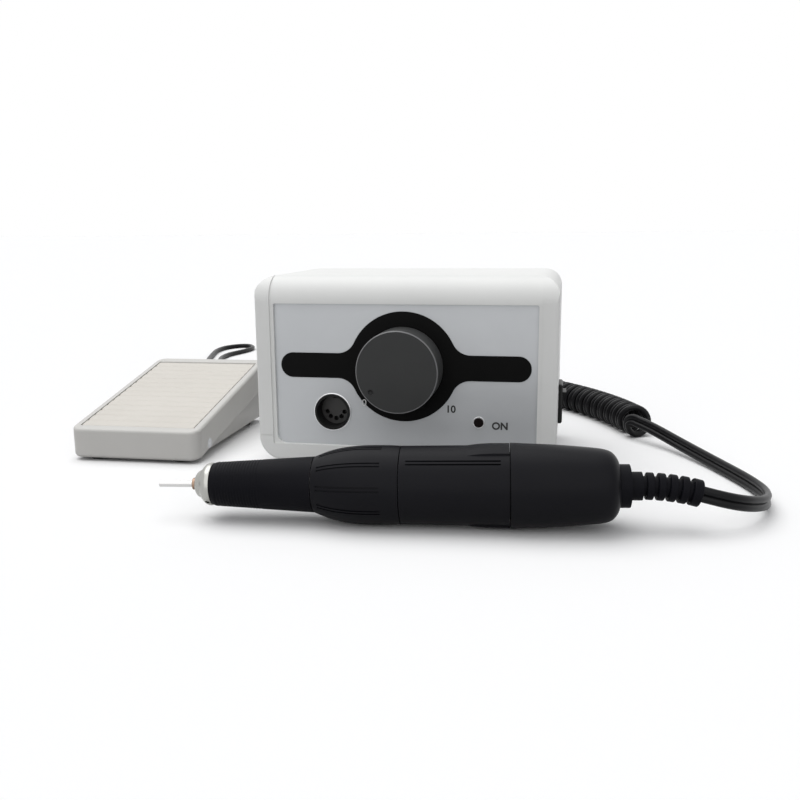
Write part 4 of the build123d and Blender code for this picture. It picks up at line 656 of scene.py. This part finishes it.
@dataclass
class PedalCord:
    """The pedal's round cord: a loop on the table, its put-away turns, and the rise to its plug.

    All its points are in desk millimetres.
    """

    radius: float = 1.75
    coil_centre: tuple[float, float] = (5.0, 128.0)
    coil_radius: float = 24.0
    coil_step: float = 4.0
    coil_turns: int = 6
    climb_turns: float = 0.5
    steps: int = 12
    resolution: int = 4
    roundness: int = 5
    length: float = 1.487
    near_points: tuple[Point, ...] = (
        (-137.70, 88.77, 8.8),
        (-138.0, 104.5, 8.8),
        (-138.0, 134.0, 1.8),
        (-152.0, 176.0, 1.8),
        (-180.0, 222.0, 1.8),
        (-205.0, 268.0, 1.8),
        (-217.0, 308.0, 1.8),
        (-224.0, 334.0, 1.8),
        (-222.5, 355.0, 1.8),
        (-210.0, 367.5, 1.8),
        (-198.5, 356.0, 1.8),
        (-197.5, 333.5, 1.8),
        (-205.5, 308.0, 1.8),
        (-199.0, 276.0, 1.8),
        (-174.0, 236.0, 1.8),
        (-144.0, 190.0, 1.8),
        (-112.0, 150.0, 1.8),
        (-74.0, 120.0, 1.8),
        (-36.99, 102.89, 1.75),
    )
    far_points: tuple[Point, ...] = (
        (20.75, 103.58, 5.75),
        (37.0, 107.0, 3.4),
        (50.0, 115.0, 1.9),
        (56.0, 129.5, 2.6),
        (50.5, 143.0, 8.0),
        (37.5, 142.5, 16.0),
        (30.5, 128.5, 22.3),
        (30.0, 115.5, 24.0),
        (30.0, 105.0, 24.0),
    )

    def coil(self, turn: float) -> Vector:
        """Return a place on the put-away turns, which spiral in and out again in two layers."""
        radius = self.coil_radius - self.coil_step * min(turn, self.coil_turns - turn)
        radius /= math.cos(math.pi / self.steps)
        climb = smooth_step((turn - self.coil_turns / 2) / self.climb_turns + 0.5)
        angle = math.tau * turn - math.pi / 2
        return Vector((self.coil_centre[0] + radius * math.cos(angle),
                       self.coil_centre[1] + radius * math.sin(angle),
                       self.radius + climb * self.coil_step))

    def build(self, shop: Workshop) -> None:
        points = [Vector(point) for point in self.near_points]
        points += [self.coil(i / self.steps) for i in range(self.coil_turns * self.steps + 1)]
        points += [Vector(point) for point in self.far_points]
        line = spline_line("round_cord", [desk(*point) for point in points], self.resolution)
        log.info("round cord, %.4f m", line_length(read_line(line)))
        line.data.bevel_depth = self.radius * MM
        line.data.bevel_resolution = self.roundness
        line.data.use_fill_caps = True
        shop.dress(line, FINISHES["cord_black"])
        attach(line, "root")
        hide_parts("pedal_cord", "pedal_cord_coil", "pedal_lead")


# Camera and studio


@dataclass(frozen=True)
class PhotoCamera:
    """The photograph's viewpoint, with its angles in degrees and its place on the desk."""

    focal: float = 859.4
    frame_size: float = 800.0
    sensor: float = 36.0
    yaw: float = 11.061
    pitch: float = 11.133
    roll: float = -0.5
    place: Point = (65.83, -344.25, 99.40)
    nearest: float = 0.01
    farthest: float = 100.0

    def build(self) -> None:
        """Make the camera the scene's own."""
        yaw, pitch, roll = (math.radians(turn) for turn in (self.yaw, self.pitch, self.roll))
        level = math.cos(pitch)
        ahead = Vector((-math.sin(yaw) * level, math.cos(yaw) * level, -math.sin(pitch)))
        right = Vector((math.cos(yaw), math.sin(yaw), 0.0))
        above = right.cross(ahead)
        across = right * math.cos(roll) + above * math.sin(roll)
        upright = above * math.cos(roll) - right * math.sin(roll)
        data = bpy.data.cameras.new("photo_camera")
        data.sensor_width = self.sensor
        data.sensor_fit = "HORIZONTAL"
        data.lens = self.focal / self.frame_size * self.sensor
        data.clip_start = self.nearest
        data.clip_end = self.farthest
        camera = bpy.data.objects.new("photo_camera", data)
        turn = Matrix((across, upright, -ahead)).transposed()
        camera.matrix_world = Matrix.Translation(desk(*self.place)) @ turn.to_4x4()
        bpy.context.collection.objects.link(camera)
        bpy.context.scene.camera = camera


@dataclass(frozen=True)
class Lamp:
    """A far light: its name, the way to it, its strength and its width in degrees."""

    name: str
    way: Point
    strength: float
    spread: float


@dataclass
class Studio:
    """A white table top without an edge, under a soft high light and one from the front."""

    floor_half: float = 30.0
    floor_tone: Colour = (1.0, 1.0, 1.0)
    floor_roughness: float = 0.9
    bounce_tone: Colour = (0.42, 0.42, 0.425)
    sky_seen: Colour = (1.0, 1.0, 1.0)
    sky_high: Colour = (0.46, 0.465, 0.475)
    sky_low: Colour = (0.14, 0.14, 0.145)
    lamps: tuple[Lamp, ...] = (
        Lamp("key", (-0.30, 0.15, 1.0), strength=1.55, spread=60.0),
        Lamp("fill", (0.1, -1.0, 0.7), strength=0.95, spread=80.0),
    )

    def build(self) -> None:
        """Make the floor, the lamps and the world."""
        scene = bpy.context.scene
        scene.view_settings.view_transform = "Standard"
        self.build_floor()
        self.build_world()
        for lamp in self.lamps:
            light = bpy.data.lights.new(lamp.name, "SUN")
            light.energy = lamp.strength
            light.angle = math.radians(lamp.spread)
            stand = bpy.data.objects.new(lamp.name, light)
            stand.rotation_euler = Vector(lamp.way).to_track_quat("Z", "Y").to_euler()
            bpy.context.collection.objects.link(stand)

    def build_floor(self) -> None:
        """Make the white floor, which keeps the shadows."""
        shape = bmesh.new()
        bmesh.ops.create_grid(shape, x_segments=1, y_segments=1, size=self.floor_half)
        mesh = bpy.data.meshes.new("floor")
        shape.to_mesh(mesh)
        shape.free()
        floor = bpy.data.objects.new("floor", mesh)
        bpy.context.collection.objects.link(floor)
        material = bpy.data.materials.new("floor")
        material.use_nodes = True
        nodes, links = material.node_tree.nodes, material.node_tree.links
        shader = nodes["Principled BSDF"]
        tone = self.seen_mix(nodes, links, self.bounce_tone, self.floor_tone)
        links.new(tone, shader.inputs["Base Color"])
        shader.inputs["Roughness"].default_value = self.floor_roughness
        shader.inputs["Specular IOR Level"].default_value = 0.0
        mesh.materials.append(material)

    @staticmethod
    def seen_mix(nodes: bpy.types.Nodes, links: bpy.types.NodeLinks, unseen: Colour,
                 seen: Colour) -> bpy.types.NodeSocket:
        """Mix a colour for light's own bounces with one for the eye, gloss and glass.

        Args:
            nodes: The nodes of the material or world.
            links: Its links.
            unseen: The colour for light's bounces.
            seen: The colour for the eye, gloss and glass.

        Returns:
            The mixed colour's socket; the first colour's socket is the mix node's input A.
        """
        path = nodes.new("ShaderNodeLightPath")
        share = path.outputs["Is Camera Ray"]
        for label in ("Is Glossy Ray", "Is Transmission Ray"):
            either = nodes.new("ShaderNodeMath")
            either.operation = "MAXIMUM"
            links.new(share, either.inputs[0])
            links.new(path.outputs[label], either.inputs[1])
            share = either.outputs["Value"]
        mix = nodes.new("ShaderNodeMix")
        mix.data_type = "RGBA"
        links.new(share, mix.inputs["Factor"])
        mix.inputs["A"].default_value = (*unseen, 1.0)
        mix.inputs["B"].default_value = (*seen, 1.0)
        return mix.outputs["Result"]

    def build_world(self) -> None:
        """Make the world white to the eye and to gloss, and a dimmer source of light from above."""
        world = bpy.data.worlds.new("studio")
        bpy.context.scene.world = world
        world.use_nodes = True
        nodes, links = world.node_tree.nodes, world.node_tree.links
        colour = self.seen_mix(nodes, links, self.sky_low, self.sky_seen)
        links.new(colour, nodes["Background"].inputs["Color"])
        place = nodes.new("ShaderNodeTexCoord")
        parts = nodes.new("ShaderNodeSeparateXYZ")
        links.new(place.outputs["Generated"], parts.inputs["Vector"])
        rise = nodes.new("ShaderNodeMix")
        rise.data_type = "RGBA"
        rise.inputs["A"].default_value = (*self.sky_low, 1.0)
        rise.inputs["B"].default_value = (*self.sky_high, 1.0)
        links.new(parts.outputs["Z"], rise.inputs["Factor"])
        links.new(rise.outputs["Result"], colour.node.inputs["A"])


# Sub-assemblies


@dataclass(frozen=True)
class Mark:
    """A printed mark on the front: its words, middle, lift, height and the weight of its strokes."""

    name: str
    words: str
    x: float
    z: float
    lift: float
    finish: str
    weight: float = 0.0
    size: float = 3.0


@dataclass(frozen=True)
class Rim:
    """A spun rim on the front: its middle, and its outline as stations behind the face and radii."""

    name: str
    x: float
    z: float
    outline: tuple[tuple[float, float], ...]
    body: str = "root"
    slot: str = "case_white"
    finish: str = "rim_light"


@dataclass
class ControlBox:
    """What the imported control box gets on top: its printed marks and the rims on its front."""

    print_lift: float = 0.02
    print_depth: float = 0.05
    capital_share: float = 0.72
    marks: tuple[Mark, ...] = (
        Mark("mark_zero", "0", -16.7, 28.7, 0.3, "print_white"),
        Mark("mark_ten", "10", 19.8, 27.0, 0.0, "print_black", weight=0.04),
        Mark("mark_on", "ON", 40.1, 20.5, 0.0, "print_black", weight=0.05),
    )
    rims: tuple[Rim, ...] = (
        Rim("lamp_rim", 31.4, 21.9,
            ((0.0, 2.03), (-0.3, 2.03), (-0.36, 2.2), (-0.3, 2.4), (0.0, 2.44), (0.0, 2.03))),
        Rim("socket_rim", -30.5, 24.5,
            ((0.0, 7.58), (-0.45, 7.58), (-0.52, 7.8), (-0.42, 8.02), (0.0, 8.06), (0.0, 7.58))),
        # The knob's chamfer ring, lighter than the knob as a painted highlight
        Rim("knob_edge_painted_highlight", 0.0, DIAL_HEIGHT,
            ((-14.96, 16.17), (-15.03, 16.23), (-14.67, 16.64), (-14.58, 16.57), (-14.96, 16.17)),
            body="knob", slot="knob_black", finish="knob_edge_painted_highlight"),
    )

    def build(self, shop: Workshop) -> None:
        """Print the marks on the front and fit the rims."""
        self.print_marks(shop)
        self.fit_rims(shop)

    def fit_rims(self, shop: Workshop) -> None:
        """Fit the light rims round the lamp and the socket, and the knob's chamfer ring, whose
        lighter tone is a painted highlight.
        """
        for rim in self.rims:
            stand = Matrix.Translation((rim.x, 0.0, rim.z)) @ Matrix.Rotation(QUARTER_TURN, 4, "Z")
            piece = finish_mesh(rim.name, spun(rim.outline), BOX_PLACE @ stand)
            shop.dress(piece, FINISHES[rim.finish])
            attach(piece, rim.body)
            log.info("%s fitted", rim.name)

    def print_marks(self, shop: Workshop) -> None:
        """Print the marks on the front."""
        for mark in self.marks:
            text = bpy.data.curves.new(mark.name, "FONT")
            text.body = mark.words
            text.offset = mark.weight * mark.size
            text.size = mark.size / self.capital_share
            text.align_x = "CENTER"
            text.align_y = "CENTER"
            text.extrude = self.print_depth / 2
            source = bpy.data.objects.new(mark.name + "_text", text)
            bpy.context.collection.objects.link(source)
            bpy.context.view_layer.update()
            mesh = bpy.data.meshes.new_from_object(source)
            bpy.data.objects.remove(source)
            shape = bmesh.new()
            shape.from_mesh(mesh)
            bpy.data.meshes.remove(mesh)
            y = -mark.lift - self.print_lift - self.print_depth / 2
            stand = Matrix.Translation((mark.x, y, mark.z)) @ Matrix.Rotation(QUARTER_TURN, 4, "X")
            piece = finish_mesh(mark.name, shape, BOX_PLACE @ stand)
            shop.dress(piece, FINISHES[mark.finish])
            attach(piece, "root")
            log.info("%s printed", mark.name)


@dataclass
class Handpiece:
    """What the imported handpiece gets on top: a grip with fine rings on its front half."""

    bore: float = 6.5
    nose_radius: float = 7.1
    front_radius: float = 7.75
    rear_radius: float = 9.7
    length: float = 36.0
    shoulder: float = 2.0
    ring_pitch: float = 1.05
    ring_count: int = 15
    ring_depth: float = 0.12
    ring_steps: int = 6

    def radius(self, station: float) -> float:
        """Return the grip's outer radius, rings included, at a station behind its front."""
        share = max(station - self.shoulder, 0.0) / (self.length - self.shoulder)
        plain = self.front_radius + share * (self.rear_radius - self.front_radius)
        rounding = (1.0 - min(station / self.shoulder, 1.0)) ** 2
        plain -= (self.front_radius - self.nose_radius) * rounding
        phase = (station - self.shoulder) / self.ring_pitch
        if 0.0 <= phase <= self.ring_count:
            plain -= self.ring_depth * (0.5 - 0.5 * math.cos(math.tau * phase))
        return plain

    def build(self, shop: Workshop) -> None:
        """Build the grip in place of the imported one."""
        nose = [self.shoulder * i / self.ring_steps for i in range(self.ring_steps)]
        rings = [self.shoulder + self.ring_pitch * i / self.ring_steps
                 for i in range(self.ring_count * self.ring_steps + 1)]
        stations = nose + rings + [self.length]
        outline = [(station - self.length, self.radius(station)) for station in stations]
        outline = [(-self.length, self.bore), *outline, (0.0, self.bore), (-self.length, self.bore)]
        piece = finish_mesh("ringed_grip", spun(outline), HAND_PLACE, WAVE_LIMIT)
        shop.dress(piece, FINISHES["grip_rubber"])
        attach(piece, "root")
        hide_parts("grip_sleeve")
        log.info("grip with %d rings", self.ring_count)


@dataclass
class Pedal:
    """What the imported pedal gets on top: a mat with soft rounded ribs."""

    front_height: float = 15.45
    slope: float = 10.89
    width: float = 52.9
    length: float = 82.8
    thickness: float = 1.2
    rib_count: int = 14
    rib_steps: int = 10
    rib_power: int = 5
    groove_depth: float = 0.6
    edge: float = 0.3
    edge_segments: int = 3

    def build(self, shop: Workshop) -> None:
        """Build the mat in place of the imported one."""
        rise = math.tan(math.radians(self.slope))
        steps = self.rib_count * self.rib_steps
        profile = []
        for i in range(steps + 1):
            y = self.length * i / steps
            reach = abs(2.0 * ((i / self.rib_steps) % 1.0) - 1.0)
            groove = self.groove_depth * reach ** self.rib_power
            profile.append((y, self.front_height + y * rise - groove))
        low = self.front_height - self.thickness
        profile += [(self.length, low + self.length * rise), (0.0, low)]
        shape = bmesh.new()
        face = shape.faces.new([shape.verts.new((-self.width / 2, y, z)) for y, z in profile])
        moved = bmesh.ops.extrude_face_region(shape, geom=[face])["geom"]
        verts = [item for item in moved if isinstance(item, bmesh.types.BMVert)]
        bmesh.ops.translate(shape, verts=verts, vec=(self.width, 0.0, 0.0))
        piece = finish_mesh("ribbed_mat", shape, PEDAL_PLACE, WAVE_LIMIT)
        bevel = piece.modifiers.new("edge", "BEVEL")
        bevel.width = self.edge * MM
        bevel.segments = self.edge_segments
        bevel.limit_method = "ANGLE"
        bevel.angle_limit = math.radians(CREASE_LIMIT)
        shop.dress(piece, FINISHES["mat_cream"])
        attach(piece, "treadle")
        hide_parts("pedal_mat")
        log.info("mat with %d ribs", self.rib_count)


def dress_nodes(shop: Workshop) -> None:
    """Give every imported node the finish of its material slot."""
    slots = {part["node"]: part["material_slot"] for part in frame["record"]["subparts"]}
    for node, piece in frame["nodes"].items():
        shop.dress(piece, FINISHES[slots[node]])
    log.info("%d packed nodes dressed", len(frame["nodes"]))


def main() -> None:
    """Build the scene in order."""
    logging.basicConfig(level=logging.INFO, format="%(message)s")
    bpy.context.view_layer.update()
    shop = Workshop()
    PhotoCamera().build()
    Studio().build()
    dress_nodes(shop)
    HandpieceCord().build(shop)
    PedalCord().build(shop)
    ControlBox().build(shop)
    Handpiece().build(shop)
    Pedal().build(shop)


if __name__ == "__main__":
    main()
